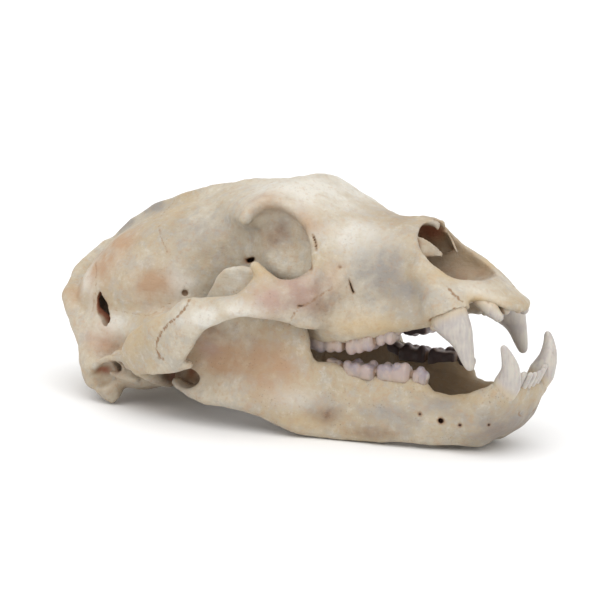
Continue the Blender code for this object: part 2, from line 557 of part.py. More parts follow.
UPPER_FANG = ([(101, -25.4, 82), (106.6, -27.4, 75), (111.2, -28.8, 69.4), (116.4, -29.6, 64),
               (119, -29.8, 60),
               (120.9, -29.8, 56), (122.4, -29.8, 52), (123.7, -29.7, 48.6), (124.3, -29.6, 47)],
              [6, 8.4, 9.8, 7.5, 5.9, 4.8, 4, 3.1, 2.5], 0.85)
LOWER_FANG = ([(131, -18.4, 24), (136.6, -18.8, 31), (140.6, -19.4, 38.3), (142.8, -21.2, 46),
               (142, -23.4, 52.5),
               (140.2, -24.8, 57)], [4.5, 6.2, 7.1, 5.2, 3.6, 2.2], 0.85)
# Cheek teeth: rear and front x, y, width, height of the neck, height of the crown, rise along x,
# then the cusps: place along and across, height and radius
UPPER_CHEEK_TEETH = [
    ((32.5, 54.6, -30, 14.5, 49.6, 6.6, 0.1), [(.36, -1, 1.05, 1.8), (.62, -1, 1, 1.7), (.86, -1, .95, 1.5),
                                               (.3, .9, .95, 1.8), (.7, .9, .95, 1.8)]),
    ((55, 71.2, -29.8, 13.5, 52.6, 7.4, 0.2), [(.2, -1, 1.08, 1.9), (.5, -1, 1, 1.6), (.83, -1, .9, 1.8),
                                               (.3, .9, .9, 1.8), (.75, .9, .9, 1.8)]),
    ((71.6, 82.4, -28.8, 10, 57, 5.4, 0.2), [(.22, -1, 1.15, 1.5), (.72, -1, 1.1, 1.6), (.5, .9, .8, 1.6)])]
LOWER_CHEEK_TEETH = [
    ((44, 52.8, -31.5, 8.5, 35.6, 4, -0.3), [(.6, 0, .95, 1.6)]),
    ((53, 71, -28.8, 11.5, 33.6, 6.4, 0.02), [(.14, -1, 1.06, 1.6), (.42, -1, .98, 1.7),
                                              (.76, -1, .98, 1.7),
                                             (.3, .9, 1.15, 1.6), (.8, .9, 1.18, 1.6)]),
    ((71.4, 89.8, -26.8, 9.6, 34.2, 7.2, 0.1), [(.14, -1, .96, 1.6), (.3, -.8, 1, 1.5),
                                                (.62, -.9, 1.12, 1.9),
                                               (.84, -.5, 1.14, 1.8), (.2, .9, 1.05, 1.4)]),
    ((90.8, 98.6, -25.2, 6, 35, 4.6, 0), [(.5, -.2, 1.5, 1.5), (.12, 0, .95, 1.2), (.88, 0, 1.0, 1.2)])]
# Small teeth, each a short bar from root to tip: two points and two radii
UPPER_SMALL_TEETH = [((118.5, -14.5, 78.4), (126.8, -14.5, 73.8), 3, 3.7),
                     ((126.8, -14.5, 73.8), (130.8, -14.2, 70.7), 3.7, 2.7),
                     ((128, -8, 77.4), (131.6, -8.6, 74), 2.6, 2.7),
                     ((133.5, -2.8, 77), (136, -2.9, 74.6), 2.4, 2.2),
                     ((81, -28, 61.5), (82, -28.4, 58.6), 2.4, 2.1),
                     ((101, -27.3, 66), (102, -27.8, 63.4), 2.2, 1.9)]
LOWER_SMALL_TEETH = [((141, -2.4, 30), (146.6, -2.5, 41), 2.2, 2.1),
                     ((141, -6.8, 31), (146.4, -7.1, 41.4), 2.4, 2.2),
                     ((139.5, -11.4, 31.5), (145, -11.8, 42), 2.7, 2.5)]
# How full a cheek tooth is along its length: share of the length, share of width and height
FULLNESS = [(0, 0.35), (0.05, 0.75), (0.2, 1), (0.5, 0.92), (0.8, 1), (0.95, 0.78), (1, 0.35)]
CROWN_SQUARENESS = 3.2


def cheek_tooth(b, crown, cusps, up, blend):
    """A low squarish crown with cusps on it; up is 1 on the lower jaw and -1 on the upper."""
    rear, front, y, width, neck, height, rise = crown
    long = front - rear
    stations = []
    for share, full in FULLNESS:
        at = neck + rise * (share - 0.5) * long
        root, bite = at - up * 2.5, at + up * height * (0.45 + 0.4 * full)
        stations.append((rear + long * share, max(root, bite), min(root, bite), width / 2 * full,
                         at + up * height * 0.35, CROWN_SQUARENESS))
    b.add(shifted(loft(stations), y), blend)
    for along, across, tall, radius in cusps:
        at = neck + rise * (along - 0.5) * long
        x, side = rear + long * along, y + across * (width / 2 - radius)
        b.add(rod([(x, side, at + up * height * 0.3), (x, side, at + up * (height * tall - radius))],
                  [radius * 1.25, radius]), blend)


def add_teeth(b, fang, cheek_teeth, small_teeth, up, blend=1.5):
    """All the teeth of one side, rooted in the bone."""
    b.add(rod(fang[0], fang[1], 4, (0, 1, 0), fang[2]), blend)
    for root, tip, wide, narrow in small_teeth:
        b.add(rod([root, tip], [wide, narrow]), blend)
    for crown, cusps in cheek_teeth:
        cheek_tooth(b, crown, cusps, up, blend)


def bone_material(name, colour):
    material = bpy.data.materials.new(name)
    material.use_nodes = True
    shader = material.node_tree.nodes["Principled BSDF"]
    shader.inputs["Base Color"].default_value = (*colour, 1)
    shader.inputs["Roughness"].default_value = ROUGHNESS
    return material


def shown(name, mesh):
    thing = bpy.data.objects.new(name, mesh)
    bpy.context.scene.collection.objects.link(thing)
    return thing


def evaluated(thing):
    """A copy of the object's mesh with its modifiers applied; the object is removed."""
    graph = bpy.context.evaluated_depsgraph_get()
    mesh = bpy.data.meshes.new_from_object(thing.evaluated_get(graph))
    bpy.data.objects.remove(thing)
    return mesh


def thinned(mesh, faces):
    """The mesh with about that many triangles."""
    thing = shown("thinned", mesh)
    thin = thing.modifiers.new("thin", "DECIMATE")
    thin.ratio = faces / (2 * len(mesh.polygons))
    return evaluated(thing)


def box_mesh(centre, half, turn=0.0):
    """A closed box, turned about the vertical by degrees."""
    form = bmesh.new()
    bmesh.ops.create_cube(form, size=2.0)
    axes = turned(0, turn)
    for vertex in form.verts:
        vertex.co = (np.array(centre) + (np.array(vertex.co) * half) @ axes) * MM
    mesh = bpy.data.meshes.new("box")
    form.to_mesh(mesh)
    form.free()
    return mesh


def plug_mesh(outline, near, far):
    """A closed plug with this outline in x and z, between two values of y."""
    form = bmesh.new()
    face = form.faces.new([form.verts.new((x * MM, near * MM, z * MM)) for x, z in outline])
    made = bmesh.ops.extrude_face_region(form, geom=[face])
    for vertex in made["geom"]:
        if isinstance(vertex, bmesh.types.BMVert):
            vertex.co.y = far * MM
    bmesh.ops.recalc_face_normals(form, faces=form.faces[:])
    mesh = bpy.data.meshes.new("plug")
    form.to_mesh(mesh)
    form.free()
    return mesh


def less(mesh, cutters):
    """The mesh with the cutters' meshes taken away."""
    thing = shown("whole", mesh)
    tools = [shown("cutter", cutter) for cutter in cutters]
    for tool in tools:
        cut = thing.modifiers.new("cut", "BOOLEAN")
        cut.operation = "DIFFERENCE"
        cut.object = tool
    result = evaluated(thing)
    for tool in tools:
        bpy.data.objects.remove(tool)
    return result


def mirrored(mesh):
    """Both sides of a mesh that is open at y = 0."""
    thing = shown("half", mesh)
    mirror = thing.modifiers.new("mirror", "MIRROR")
    mirror.use_axis = (False, True, False)
    mirror.merge_threshold = 1e-6
    return evaluated(thing)


def right_of(mesh, y, closed):
    """The part of the mesh to the right of y, left open there or closed."""
    form = bmesh.new()
    form.from_mesh(mesh)
    every = form.verts[:] + form.edges[:] + form.faces[:]
    made = bmesh.ops.bisect_plane(form, geom=every, dist=1e-7, plane_co=(0, y * MM, 0),
                                  plane_no=(0, 1, 0), clear_outer=True)
    if closed:
        edges = [part for part in made["geom_cut"] if isinstance(part, bmesh.types.BMEdge)]
        bmesh.ops.holes_fill(form, edges=edges)
    bmesh.ops.triangulate(form, faces=form.faces[:])
    result = bpy.data.meshes.new("right")
    form.to_mesh(result)
    form.free()
    return result


def surfaces(mesh):
    """The mesh's separate closed surfaces, each a mesh, the largest first."""
    faces = [tuple(face.vertices) for face in mesh.polygons]
    owner = list(range(len(mesh.vertices)))

    def root(i):
        while owner[i] != i:
            owner[i] = owner[owner[i]]
            i = owner[i]
        return i

    for face in faces:
        for corner in face[1:]:
            owner[root(corner)] = root(face[0])
    groups = {}
    for face in faces:
        groups.setdefault(root(face[0]), []).append(face)
    found = []
    for group in sorted(groups.values(), key=len, reverse=True):
        used = sorted({corner for face in group for corner in face})
        place = {old: new for new, old in enumerate(used)}
        part = bpy.data.meshes.new("surface")
        part.from_pydata([mesh.vertices[old].co[:] for old in used], [],
                         [[place[corner] for corner in face] for face in group])
        found.append(part)
    return found


def middle(mesh):
    """The middle of the mesh's box, in millimetres."""
    points = np.array([vertex.co for vertex in mesh.vertices]) / MM
    return (points.min(0) + points.max(0)) / 2


def node(name, mesh, colour):
    """A finished piece: named, coloured and smooth."""
    mesh.name = name
    mesh.materials.append(bone_material(name, colour))
    mesh.shade_smooth()
    return shown(name, mesh)


def cranium_nodes():
    """The braincase, the face with its teeth, and the two cheek arches, parted by thin cuts."""
    cranium = cranium_block(CELL)
    add_teeth(cranium, UPPER_FANG, UPPER_CHEEK_TEETH, UPPER_SMALL_TEETH, -1)
    half = right_of(thinned(cranium.mesh("cranium"), CRANIUM_FACES), 0, False)
    cutters = [box_mesh(*BROW_CUT), plug_mesh(BROKEN_EDGE, *BROKEN_DEPTH)]
    for side in (-1, 1):
        for centre, half_size, turn in (FRONT_ARCH_CUT, REAR_ARCH_CUT):
            centre = (centre[0], -side * centre[1], centre[2])
            cutters.append(box_mesh(centre, half_size, -side * turn))
    for part in surfaces(less(mirrored(half), cutters))[:4]:
        x, y, _ = middle(part)
        if abs(y) > 20:
            node("zygomatic_arch_left" if y > 0 else "zygomatic_arch_right", part, ARCH_BONE)
        elif x > 0:
            node("face", part, FACE_BONE)
        else:
            node("braincase", part, PALE_BONE)


def jaw_nodes():
    """The two halves of the lower jaw, each with its teeth."""
    jaw = jaw_block(CELL)
    add_teeth(jaw, LOWER_FANG, LOWER_CHEEK_TEETH, LOWER_SMALL_TEETH, 1)
    right = surfaces(right_of(thinned(jaw.mesh("jaw"), JAW_FACES), -THIN_CUT / 2, True))[0]
    left = right.copy()
    left.transform(Matrix.Scale(-1, 4, (0, 1, 0)))
    left.flip_normals()
    node("mandible_right", right, JAW_BONE)
    node("mandible_left", left, JAW_BONE)


def stand():
    """Moves every piece so that the skull is centred over the origin and rests on the floor."""
    points = np.array([vertex.co for thing in bpy.data.objects for vertex in thing.data.vertices])
    low, high = points.min(0), points.max(0)
    shift = (-(low[0] + high[0]) / 2, -(low[1] + high[1]) / 2, -low[2])
    for thing in bpy.data.objects:
        thing.data.transform(Matrix.Translation(shift))


cranium_nodes()
jaw_nodes()
stand()
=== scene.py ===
# %% [markdown]
# # A black bear skull
#
# The object is a dry skull of an adult male black bear with its lower jaw, lying as it rests,
# with the mouth ajar. Bone is one of the hardest things to model with boxes and loops of faces,
# because each part of it swells out of the next without an edge. So the bones here are made as
# distance fields: every swelling, strap and hollow is a simple formula, and a smooth minimum
# melts them together. Blender's own OpenVDB then turns the field into a mesh.

import bmesh
import bpy
import numpy as np
import openvdb
from mathutils import Matrix, Vector


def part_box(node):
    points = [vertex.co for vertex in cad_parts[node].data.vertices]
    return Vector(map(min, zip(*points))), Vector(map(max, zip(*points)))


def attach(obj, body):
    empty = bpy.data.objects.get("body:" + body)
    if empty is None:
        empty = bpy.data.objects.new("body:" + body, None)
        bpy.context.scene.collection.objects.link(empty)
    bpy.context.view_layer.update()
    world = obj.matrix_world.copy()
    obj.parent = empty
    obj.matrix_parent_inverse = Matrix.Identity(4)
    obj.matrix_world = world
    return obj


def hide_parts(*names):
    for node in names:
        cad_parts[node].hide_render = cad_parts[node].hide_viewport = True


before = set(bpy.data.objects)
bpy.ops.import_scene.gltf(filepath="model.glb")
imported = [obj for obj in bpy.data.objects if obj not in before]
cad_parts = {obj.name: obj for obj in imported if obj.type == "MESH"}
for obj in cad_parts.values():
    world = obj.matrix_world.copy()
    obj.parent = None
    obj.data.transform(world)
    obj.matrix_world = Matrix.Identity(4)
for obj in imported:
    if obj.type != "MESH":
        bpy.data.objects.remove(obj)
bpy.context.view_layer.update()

# %% [markdown]
# ## Units and place
#
# The forms are written in millimetres, with +X towards the snout, +Y towards the skull's left
# and the floor at 0, because a skull's sizes are natural in millimetres. The solids are
# centred on their box, so the forms move by the same amount.

# %% Units and place
MM = 0.001
# Where the braincase's solid ends at the brow, and how low the forms reach, both as written here
SOLIDS_CUT_X = -12.15
FORMS_LOW_Z = -0.1
TO_FRAME = np.array([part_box("braincase")[1][0] / MM - SOLIDS_CUT_X, 0.0, -FORMS_LOW_Z])
print("forms move by", TO_FRAME)

# %% [markdown]
# ## Camera
#
# The photograph looks at the skull's right side from the front right, a little from above, with
# a long lens. The camera stands 1.2 m away. Its axes are worked out from three angles, so the
# same numbers can be checked against the photograph at any time.

# %% Camera
CAMERA_TURN = 31.5
CAMERA_LIFT = 11.0
CAMERA_ROLL = 2.5
CAMERA_AWAY = 1200.0
CAMERA_TARGET = np.array([6.54, 0.0, 44.64])
LENS = 134.64
FRAME_SHIFT = 0.05


def placed(name, data):
    """A new object, put in the scene."""
    thing = bpy.data.objects.new(name, data)
    bpy.context.scene.collection.objects.link(thing)
    return thing


def make_camera():
    """A camera that looks along the photograph's line of sight."""
    turn, lift, roll = np.radians([CAMERA_TURN, CAMERA_LIFT, CAMERA_ROLL])
    ahead = np.array([-np.sin(turn) * np.cos(lift), np.cos(turn) * np.cos(lift), -np.sin(lift)])
    level = np.array([np.cos(turn), np.sin(turn), 0.0])
    above = np.cross(level, ahead)
    right = np.cos(roll) * level + np.sin(roll) * above
    up = np.cos(roll) * above - np.sin(roll) * level
    eye = (CAMERA_TARGET + TO_FRAME - CAMERA_AWAY * ahead) * MM
    camera = placed("camera", bpy.data.cameras.new("camera"))
    rows = [(right[i], up[i], -ahead[i], eye[i]) for i in range(3)]
    camera.matrix_world = Matrix(rows + [(0, 0, 0, 1)])
    camera.data.lens = LENS
    camera.data.shift_y = FRAME_SHIFT
    bpy.context.scene.camera = camera
    return eye


print("camera stands at", make_camera())

# %% [markdown]
# ## Curves through a few values
#
# Bone changes gently along its length. A few knots and a smooth curve between them say as much
# as a long list of points would, and each knot can still be moved by hand.

# %% Curves through a few values
def curve_at(x, knots):
    """A smooth curve through (position, value) knots, read at x."""
    at = np.array([knot[0] for knot in knots], float)
    value = np.array([knot[1] for knot in knots], float)
    slope = np.gradient(value, at)
    x = np.clip(x, at[0], at[-1])
    i = np.clip(np.searchsorted(at, x) - 1, 0, len(at) - 2)
    width = at[i + 1] - at[i]
    t = (x - at[i]) / width
    rise = value[i] * (1 + 2 * t) * (1 - t) ** 2 + value[i + 1] * t * t * (3 - 2 * t)
    return rise + width * (slope[i] * t * (1 - t) ** 2 + slope[i + 1] * t * t * (t - 1))


def smoothed(points, steps, closed=False):
    """Points of a Catmull-Rom curve through the given ones."""
    p = np.array(points, float)
    count = len(p)
    if closed:
        before, after, beyond = np.roll(p, 1, 0), np.roll(p, -1, 0), np.roll(p, -2, 0)
        last = count
    else:
        before = np.concatenate([p[:1], p[:-1]])
        after = np.concatenate([p[1:], p[-1:]])
        beyond = np.concatenate([p[2:], p[-1:], p[-1:]])
        last = count - 1
    found = []
    for a, b, c, d in zip(before[:last], p[:last], after[:last], beyond[:last]):
        for t in np.arange(steps) / steps:
            bend = (2 * a - 5 * b + 4 * c - d) * t * t + (3 * b - 3 * c + d - a) * t ** 3
            found.append(0.5 * (2 * b + (c - a) * t + bend))
    if not closed:
        found.append(p[-1])
    return np.array(found)


def path_through(points, steps):
    """A smooth curve through the points, or a straight line where there are two."""
    return smoothed(points, steps) if len(points) > 2 else np.array(points, float)

# %% [markdown]
# ## Forms
#
# A form is a function that gives the distance from any place to its surface, negative inside,
# together with the box that holds it. There are five: a ball stretched into an ellipsoid, a rod
# with a changing radius, a loft of rounded sections, an upright plate cut to an outline, and a
# bent sheet. A smooth minimum of two distances is a union with a fillet, which is just how one
# bone flows into the next.

# %% Balls and rods
FAR = 9.0


def joined(a, b, blend):
    """The smaller of two distances, with a fillet of about that size where they cross."""
    if blend <= 0:
        return np.minimum(a, b)
    h = np.clip(0.5 + 0.5 * (b - a) / blend, 0, 1)
    return b + (a - b) * h - blend * h * (1 - h)


def turned(pitch=0.0, yaw=0.0):
    """Local axes of a form: pitch lifts its front, yaw turns it to the left."""
    p, w = np.radians([pitch, yaw])
    lift = np.array([[np.cos(p), 0, -np.sin(p)], [0, 1, 0], [np.sin(p), 0, np.cos(p)]])
    turn = np.array([[np.cos(w), -np.sin(w), 0], [np.sin(w), np.cos(w), 0], [0, 0, 1]])
    return (turn @ lift).T


def facing(out, along):
    """Local axes of a form: its first axis along one direction, its second facing out."""
    along = np.array(along, float) / np.linalg.norm(along)
    out = np.array(out, float) - (np.array(out) @ along) * along
    out /= np.linalg.norm(out)
    return np.array([along, out, np.cross(along, out)])


def offset(x, y, z, place):
    """The way to each cell from a place."""
    return x - place[0], y - place[1], z - place[2]


def dot(way, direction):
    """How far each way goes along a direction."""
    return way[0] * direction[0] + way[1] * direction[1] + way[2] * direction[2]


def from_line(x, y, z, a, b, tiny=0.0):
    """The nearest place on the line from a to b, as a share of its length, and the way from there."""
    ab = b[:3] - a[:3]
    way = offset(x, y, z, a)
    t = np.clip(dot(way, ab) / (ab @ ab + tiny), 0, 1)
    return t, [part - t * step for part, step in zip(way, ab)]


def ball(centre, radii, axes=None):
    """An ellipsoid."""
    centre, radii = np.array(centre, float), np.array(radii, float)
    rows = np.eye(3) if axes is None else axes

    def distance(x, y, z):
        way = offset(x, y, z, centre)
        local = [dot(way, row) for row in rows]
        k = np.sqrt(sum((part / r) ** 2 for part, r in zip(local, radii)))
        steep = np.sqrt(sum((part / r ** 2) ** 2 for part, r in zip(local, radii))) + 1e-6
        return k * (k - 1) / steep

    reach = radii if axes is None else np.full(3, radii.max())
    return distance, centre - reach, centre + reach


def clipped(form, place, beyond):
    """A form without what lies past the plane through this place, on the side that beyond points to."""
    beyond = np.array(beyond) / np.linalg.norm(beyond)

    def distance(x, y, z):
        return np.maximum(form[0](x, y, z), dot(offset(x, y, z, place), beyond))

    return distance, form[1], form[2]


def rod(points, radii, steps=3, flat=None, squash=1.0):
    """A round bar through the points; across the flat direction it is squash times as thick."""
    path = path_through(points, steps)
    wide = np.interp(np.linspace(0, len(points) - 1, len(path)), range(len(points)), radii)

    def distance(x, y, z):
        best = np.inf
        for a, b, ra, rb in zip(path[:-1], path[1:], wide[:-1], wide[1:]):
            t, way = from_line(x, y, z, a, b)
            radius = ra + (rb - ra) * t
            away = dot(way, way)
            if flat is None:
                found = np.sqrt(away) - radius
            else:
                side = dot(way, flat)
                rest = np.maximum(away - side * side, 0)
                k = np.sqrt(rest + (side / squash) ** 2) / radius
                steep = np.sqrt(rest + (side / squash ** 2) ** 2) / (radius * radius) + 1e-6
                found = k * (k - 1) / steep
            best = np.minimum(best, found)
        return best

    thick = max(radii)
    return distance, path.min(0) - thick, path.max(0) + thick

# %% Lofts and upright plates
def loft(stations):
    """Rounded sections along x: (x, top, bottom, half width, height of the widest point, squareness)."""
    low_x, high_x = stations[0][0], stations[-1][0]
    columns = [[(row[0], row[i]) for row in stations] for i in range(1, 6)]

    def distance(x, y, z):
        top, bottom, wide, level, n = (curve_at(x, column) for column in columns)
        tall = np.maximum(np.where(z > level, top - level, level - bottom), 0.5)
        wide = np.maximum(wide, 0.5)
        u, v = np.abs(y) / wide + 1e-6, np.abs(z - level) / tall + 1e-6
        k = (u ** n + v ** n) ** (1 / n)
        steep = k ** (1 - n) * np.sqrt((u ** (n - 1) / wide) ** 2 + (v ** (n - 1) / tall) ** 2)
        return np.maximum((k - 1) / (steep + 1e-6), np.maximum(low_x - x, x - high_x))

    half = max(row[3] for row in stations)
    low = np.array([low_x, -half, min(row[2] for row in stations)])
    return distance, low, np.array([high_x, half, max(row[1] for row in stations)])


def side_plate(outline, half_thickness, edge=1.5, steps=3):
    """A flat plate about the midline with a rounded outline in x and z."""
    line = smoothed(outline, steps, closed=True)
    low, high = line.min(0), line.max(0)

    def distance(x, y, z):
        best = np.full(np.broadcast(x, z).shape, 1e9)
        within = np.zeros(best.shape, bool)
        for (ax, az), (bx, bz) in zip(line, np.roll(line, -1, 0)):
            ex, ez = bx - ax, bz - az
            t = np.clip(((x - ax) * ex + (z - az) * ez) / (ex * ex + ez * ez + 1e-12), 0, 1)
            best = np.minimum(best, (x - ax - t * ex) ** 2 + (z - az - t * ez) ** 2)
            crosses = (az > z) != (bz > z)
            within ^= crosses & (x < ex * (z - az) / (ez + 1e-12) + ax)
        flat = np.where(within, -np.sqrt(best), np.sqrt(best)) + edge
        across = np.abs(y) - half_thickness(x, z) + edge
        outside = np.sqrt(np.maximum(flat, 0) ** 2 + np.maximum(across, 0) ** 2)
        return outside + np.minimum(np.maximum(flat, across), 0) - edge

    thick = np.max(half_thickness(np.linspace(low[0], high[0], 9)[:, None],
                                  np.linspace(low[1], high[1], 9)[None, :]))
    return distance, np.array([low[0], -thick, low[1]]), np.array([high[0], thick, high[1]])

# %% Bent sheets
def triangle_distance(x, y, z, a, b, c):
    """Distance to a triangle, less the thickness there; each corner is (x, y, z, half thickness)."""
    best = np.inf
    for p, q in ((a, b), (b, c), (c, a)):
        t, way = from_line(x, y, z, p, q, 1e-12)
        best = np.minimum(best, np.sqrt(dot(way, way)) - (p[3] + (q[3] - p[3]) * t))
    ab, ac = b[:3] - a[:3], c[:3] - a[:3]
    normal = np.cross(ab, ac)
    size = normal @ normal
    if size < 1e-9:
        return best
    way = offset(x, y, z, a)
    d00, d01, d11 = ab @ ab, ab @ ac, ac @ ac
    d20, d21 = dot(way, ab), dot(way, ac)
    scale = d00 * d11 - d01 * d01
    v = (d11 * d20 - d01 * d21) / scale
    w = (d00 * d21 - d01 * d20) / scale
    u = 1 - v - w
    face = np.abs(dot(way, normal)) / np.sqrt(size) - (u * a[3] + v * b[3] + w * c[3])
    return np.where((u >= 0) & (v >= 0) & (w >= 0), np.minimum(face, best), best)


def cells_between(axes, low, high):
    """The cells that lie between two corners, as a slice of each axis."""
    return tuple(slice(np.searchsorted(axis, a), np.searchsorted(axis, b) + 1)
                 for axis, a, b in zip(axes, low, high))


class Sheet:
    """A bent plate through rows of (x, y, z, half thickness)."""

    def __init__(self, rows, fine=3, fine_across=2):
        grid = np.array(rows, float)
        grid = np.stack([smoothed(grid[:, j], fine) for j in range(grid.shape[1])], axis=1)
        if grid.shape[1] > 2:
            grid = np.stack([smoothed(row, fine_across) for row in grid])
        self.triangles = []
        for i in range(grid.shape[0] - 1):
            for j in range(grid.shape[1] - 1):
                a, b, c, d = grid[i, j], grid[i + 1, j], grid[i + 1, j + 1], grid[i, j + 1]
                self.triangles += [(a, b, c), (a, c, d)]
        flat = grid.reshape(-1, 4)
        self.low = (flat[:, :3] - flat[:, 3:]).min(0)
        self.high = (flat[:, :3] + flat[:, 3:]).max(0)

    def fill(self, axes, margin):
        """The distance on the cells of these axes, FAR where it is past the margin."""
        found = np.full([len(axis) for axis in axes], FAR, np.float32)
        for corners in self.triangles:
            p = np.array(corners)
            low = p[:, :3].min(0) - p[:, 3].max() - margin
            high = p[:, :3].max(0) + p[:, 3].max() + margin
            box = cells_between(axes, low, high)
            if found[box].size:
                x, y, z = np.ix_(*(axis[part] for axis, part in zip(axes, box)))
                found[box] = np.minimum(found[box], triangle_distance(x, y, z, *corners))
        return found

# %% [markdown]
# ## A block of cells
#
# The forms meet in a block of cells, each holding the distance to the bone's surface. Only the
# right half is filled, since a skull's left mirrors its right. The block can be read back
# afterwards, which tells later how deep in a hollow any place of the surface lies.

# %% A block of cells
class Block:
    """Cells that hold the distance to the surface, negative inside."""

    def __init__(self, low, high, cell):
        low = np.array(low, float)
        low[1] = cell * np.round(low[1] / cell)
        self.cell = cell
        self.axes = [np.arange(a, b + cell / 2, cell) for a, b in zip(low, high)]
        self.value = np.full([len(axis) for axis in self.axes], FAR, np.float32)

    def part(self, form, blend):
        """The cells near a form, and the form's distance there."""
        margin = max(blend, 2 * self.cell) + 1.5
        low, high = (form.low, form.high) if isinstance(form, Sheet) else form[1:]
        box = cells_between(self.axes, low - margin, high + margin)
        axes = [axis[part] for axis, part in zip(self.axes, box)]
        if isinstance(form, Sheet):
            return box, form.fill(axes, margin)
        return box, np.minimum(form[0](*np.ix_(*axes)), FAR)

    def add(self, form, blend):
        """Joins a form on, with a fillet of about that size."""
        box, near = self.part(form, blend)
        self.value[box] = joined(self.value[box], near, blend)

    def cut(self, form, blend):
        """Takes a form away, with its edge rounded by about that size."""
        box, near = self.part(form, blend)
        self.value[box] = -joined(-self.value[box], near, blend)

    def both_sides(self):
        """The same block with the left side mirrored from the right."""
        y = self.axes[1]
        keep = y <= self.cell / 4
        right = self.value[:, keep, :]
        whole = Block.__new__(Block)
        whole.cell = self.cell
        whole.axes = [self.axes[0], np.concatenate([y[keep], -y[keep][-2::-1]]), self.axes[2]]
        whole.value = np.concatenate([right, right[:, -2::-1, :]], axis=1)
        return whole

    def read(self, points):
        """The distance at each of these points."""
        spot = (points - np.array([axis[0] for axis in self.axes])) / self.cell
        top = np.array(self.value.shape) - 2
        corner = np.clip(np.floor(spot).astype(int), 0, top)
        x, y, z = np.clip(spot - corner, 0, 1).T
        i, j, k = corner.T
        found = 0
        for a, along in ((0, 1 - x), (1, x)):
            for b, across in ((0, 1 - y), (1, y)):
                for c, above in ((0, 1 - z), (1, z)):
                    found = found + along * across * above * self.value[i + a, j + b, k + c]
        return found

    def surface(self):
        """The points and quads of the surface, closed at the block's own sides."""
        value = self.value.copy()
        for axis in range(3):
            for end in (0, -1):
                face = [slice(None)] * 3
                face[axis] = end
                value[tuple(face)] = np.maximum(value[tuple(face)], self.cell)
        grid = openvdb.FloatGrid()
        grid.copyFromArray(value)
        points, _, quads = grid.convertToPolygons(0.0, 0.0)
        return points * self.cell + np.array([axis[0] for axis in self.axes]), quads

# %% [markdown]
# ## The cranium's main masses
#
# A bear's skull in side view is a long low arch: a rounded braincase with a crest for the jaw
# muscles, a domed forehead, and a deep snout. Each is a loft of rounded sections along the
# skull, measured like a ship's frames: where the top, the bottom and the side come.

# %% Sections of the braincase, forehead and snout
HALF_BRAIN = 48.5
HALF_WAIST = 28.5
HALF_BROW = 42.0
HALF_SNOUT = 30.0

# Sections of the skull along x: top, bottom, half width, height of the widest point, squareness
BRAINCASE = [
    (-121, 64, 34, 27, 46, 2.1), (-112, 78, 22, 40, 48, 2.1), (-98, 90, 19, 45.5, 52, 2.2),
    (-80, 99.5, 22, HALF_BRAIN, 57, 2.2), (-62, 107, 28, HALF_BRAIN, 61, 2.2),
    (-44, 111.5, 36, 43.5, 67, 2.1), (-30, 114, 43, 38, 74, 2.1), (-18, 116.5, 48, 33.5, 83, 2.1),
    (-8, 118, 50, 31, 89, 2.1), (4, 120, 52, 29, 92, 2.1), (16, 120, 54, HALF_WAIST, 92, 2.1),
    (28, 115, 56, 29, 91, 2.1), (38, 109, 60, 32, 88, 2.2), (48, 108, 62, 36, 82, 2.3)]
FOREHEAD = [
    (-66, 101, 95, 1, 98, 2), (-46, 111, 100, 8, 106, 2), (-30, 116.4, 100, 22, 108, 2),
    (-16, 120, 98, 34, 107, 2.1), (-4, 124.2, 98, HALF_BROW, 108, 2.2), (4, 127.2, 98, HALF_BROW, 109, 2.2),
    (14, 128.6, 98, 37, 109, 2.1), (24, 125, 96, 34.5, 106, 2.1), (34, 119.8, 90, 35, 100, 2.1),
    (42, 115.2, 80, 34.5, 93, 2.1), (50, 110, 68, 30, 84, 2.1)]
SNOUT = [
    (30, 112, 60, 28, 90, 2.2), (38, 115, 56, 33, 89, 2.2), (47, 114, 55, 36, 86, 2.2),
    (56, 112.8, 55, 36, 82, 2.2), (66, 112.8, 57, 33.5, 80, 2.1), (76, 113.6, 60, 31, 79, 2),
    (84, 113.2, 63, HALF_SNOUT, 78, 1.9), (90, 110.6, 65, 29.5, 78, 2), (98, 101.5, 68, 29.5, 79, 2.2),
    (106, 96, 71, 27, 79, 2.1), (112, 92, 73.5, 24.5, 79.5, 2.05), (118, 88.4, 75, 20.3, 79.5, 2.05),
    (124, 84.4, 75.3, 17.5, 79, 2.1), (130, 81, 74.6, 14.2, 77.5, 2.2), (135.5, 78, 73.2, 11.5, 75.5, 2.2),
    (138.8, 75.4, 72.8, 5.5, 74.2, 2)]
NASAL_PASSAGE = [
    (56, 104, 74, 13, 88, 2), (70, 109, 75, 16, 90, 2.2), (82, 111.6, 76.5, 18, 92, 2.6),
    (88, 114, 77.5, 20.5, 92, 2.6), (94, 118, 79, 22, 91, 2.6), (101, 118, 81, 22.2, 90, 2.6),
    (107, 112, 82.5, 20.6, 89.5, 2.5), (113, 106, 84.4, 15.5, 90, 2.4), (118.5, 100, 86.6, 9, 91, 2.2),
    (122, 96, 88, 5, 92, 2)]
# The midline ridge and the space over the nose opening's edge, in x and z
CREST_LINE = [(-124, 74), (-121, 78), (-111, 87.8), (-99, 97.6), (-83, 105.8), (-62, 113.2), (-41, 118.6),
              (-20, 121.8)]
CREST_ROOT = [(-12, 116), (-40, 104), (-80, 88), (-110, 70), (-121, 66)]
NOSE_EDGE = [(83, 124), (83.4, 113), (83.6, 108.5), (85.4, 104), (89, 99.6), (93.5, 96.4), (98, 93.6),
             (103.7, 90.6), (108.6, 88.8), (113, 88.2), (118, 87.4), (122.5, 85.6), (129, 83), (137, 79)]
OVER_NOSE = [(142, 72), (160, 90), (150, 125), (100, 132)]


def crest_thickness(x, z):
    """The midline ridge widens downwards."""
    return 1.6 + 0.16 * np.maximum(curve_at(x, CREST_LINE) - z, 0)


